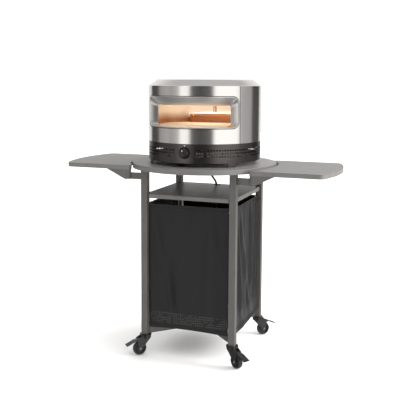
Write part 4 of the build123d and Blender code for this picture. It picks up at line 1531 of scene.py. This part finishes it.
# (name, place, target, size, energy, colour)
softboxes = [
    ("rimBox", (2.6, 0.5, 1.3), (0, 0, 0.5), (1.2, 1.6), 120, white),
    ("chamberGlow", (0.0, 0.10, 1.030), (0, 0.10, 0.9), (0.40, 0.06), 0.5, white),
    ("ovenGlow", (0.0, 0.02, 1.19), (0, 0.1, 1.06), (0.22, 0.16), 0.34, (1.0, 0.85, 0.68)),
    ("flameGlow", (0.02, 0.166, 1.096), (0.02, 0.30, 1.13), (0.30, 0.012), 0.36, (1.0, 0.93, 0.83)),
]


def bandRamp(tree, angle):
    # the bands that polished steel shows, by direction round the object
    ramp = tree.nodes.new("ShaderNodeValToRGB")
    stops = ramp.color_ramp.elements
    bands = studioSet["bands"]
    while len(stops) < len(bands):
        stops.new(0.5)
    for stop, (degrees, bright) in zip(stops, bands):
        stop.position = (degrees + 180) / 360
        stop.color = (bright, bright * 0.99, bright * 0.975, 1)
    feed(tree, ranged(tree, angle, From_Min=-math.pi, From_Max=math.pi), ramp.inputs[0])
    return ramp.outputs[0]


def makeWorld():
    s = studioSet
    world = bpy.data.worlds.new("studio")
    world.use_nodes = True
    tree = world.node_tree
    tree.nodes.clear()
    direction = tree.nodes.new("ShaderNodeTexCoord").outputs["Generated"]
    x, y, z = parts(tree, direction)
    bands = bandRamp(tree, mathNode(tree, "ARCTAN2", x, times(tree, y, -1)))
    # overhead the bands give way to an even soft sky
    height = ranged(tree, z, From_Min=0.45, From_Max=0.8)
    reflected = mixColour(tree, height, bands, (*[s["overhead"]] * 3, 1))
    # soft light on matt surfaces: mostly from above and from the right
    smooth = {"interpolation_type": "SMOOTHSTEP"}
    above = ranged(tree, z, smooth, From_Min=0.15, From_Max=0.95)
    aim = addNode(tree, "ShaderNodeVectorMath", {"operation": "DOT_PRODUCT"})
    feed(tree, direction, aim.inputs[0])
    feed(tree, Vector(s["sideAim"]).normalized(), aim.inputs[1])
    beside = ranged(tree, aim.outputs["Value"], smooth, From_Min=0.55, From_Max=0.95)
    soft = plus(tree, times(tree, above, s["above"]), times(tree, beside, s["beside"]))
    soft = plus(tree, soft, s["around"])
    softColour = addNode(tree, "ShaderNodeCombineColor", Red=soft, Green=soft, Blue=soft).outputs[0]
    path = tree.nodes.new("ShaderNodeLightPath").outputs
    unseen = mixColour(tree, path["Is Glossy Ray"], softColour, reflected)
    colour = mixColour(tree, path["Is Camera Ray"], unseen, (*s["backdrop"], 1))
    background = addNode(tree, "ShaderNodeBackground", Color=colour, Strength=1.0)
    addNode(tree, "ShaderNodeOutputWorld", Surface=background.outputs[0])
    scene.world = world


def makeFloor():
    s = studioSet
    size = s["floorSize"]
    corners = [(-size, -size, 0), (size, -size, 0), (size, size, 0), (-size, size, 0)]
    mesh = meshFrom("floor", corners, [(0, 1, 2, 3)])
    material, tree, shader = newMaterial(
        "paleFloor", Roughness=0.85, Base_Color=(*s["floor"], 1), Specular_IOR_Level=0.15
    )
    path = tree.nodes.new("ShaderNodeLightPath").outputs
    seen = mixColour(tree, path["Is Camera Ray"], (*s["floor"], 1), (*s["floorSeen"], 1))
    feedNode(tree, shader, Base_Color=seen)
    floor = addObject("floor", mesh, material)
    floor.visible_glossy = False


def addSoftbox(name, place, target, size, energy, colour):
    data = bpy.data.lights.new(name, "AREA")
    data.shape = "RECTANGLE"
    data.size, data.size_y = size
    data.energy = energy
    data.color = colour
    light = bpy.data.objects.new(name, data)
    scene.collection.objects.link(light)
    light.location = place
    light.rotation_euler = (Vector(target) - Vector(place)).to_track_quat("-Z", "Y").to_euler()
    light.visible_glossy = False
    light.visible_camera = False


makeWorld()
makeFloor()
for softbox in softboxes:
    addSoftbox(*softbox)
scene.view_settings.view_transform = "Standard"
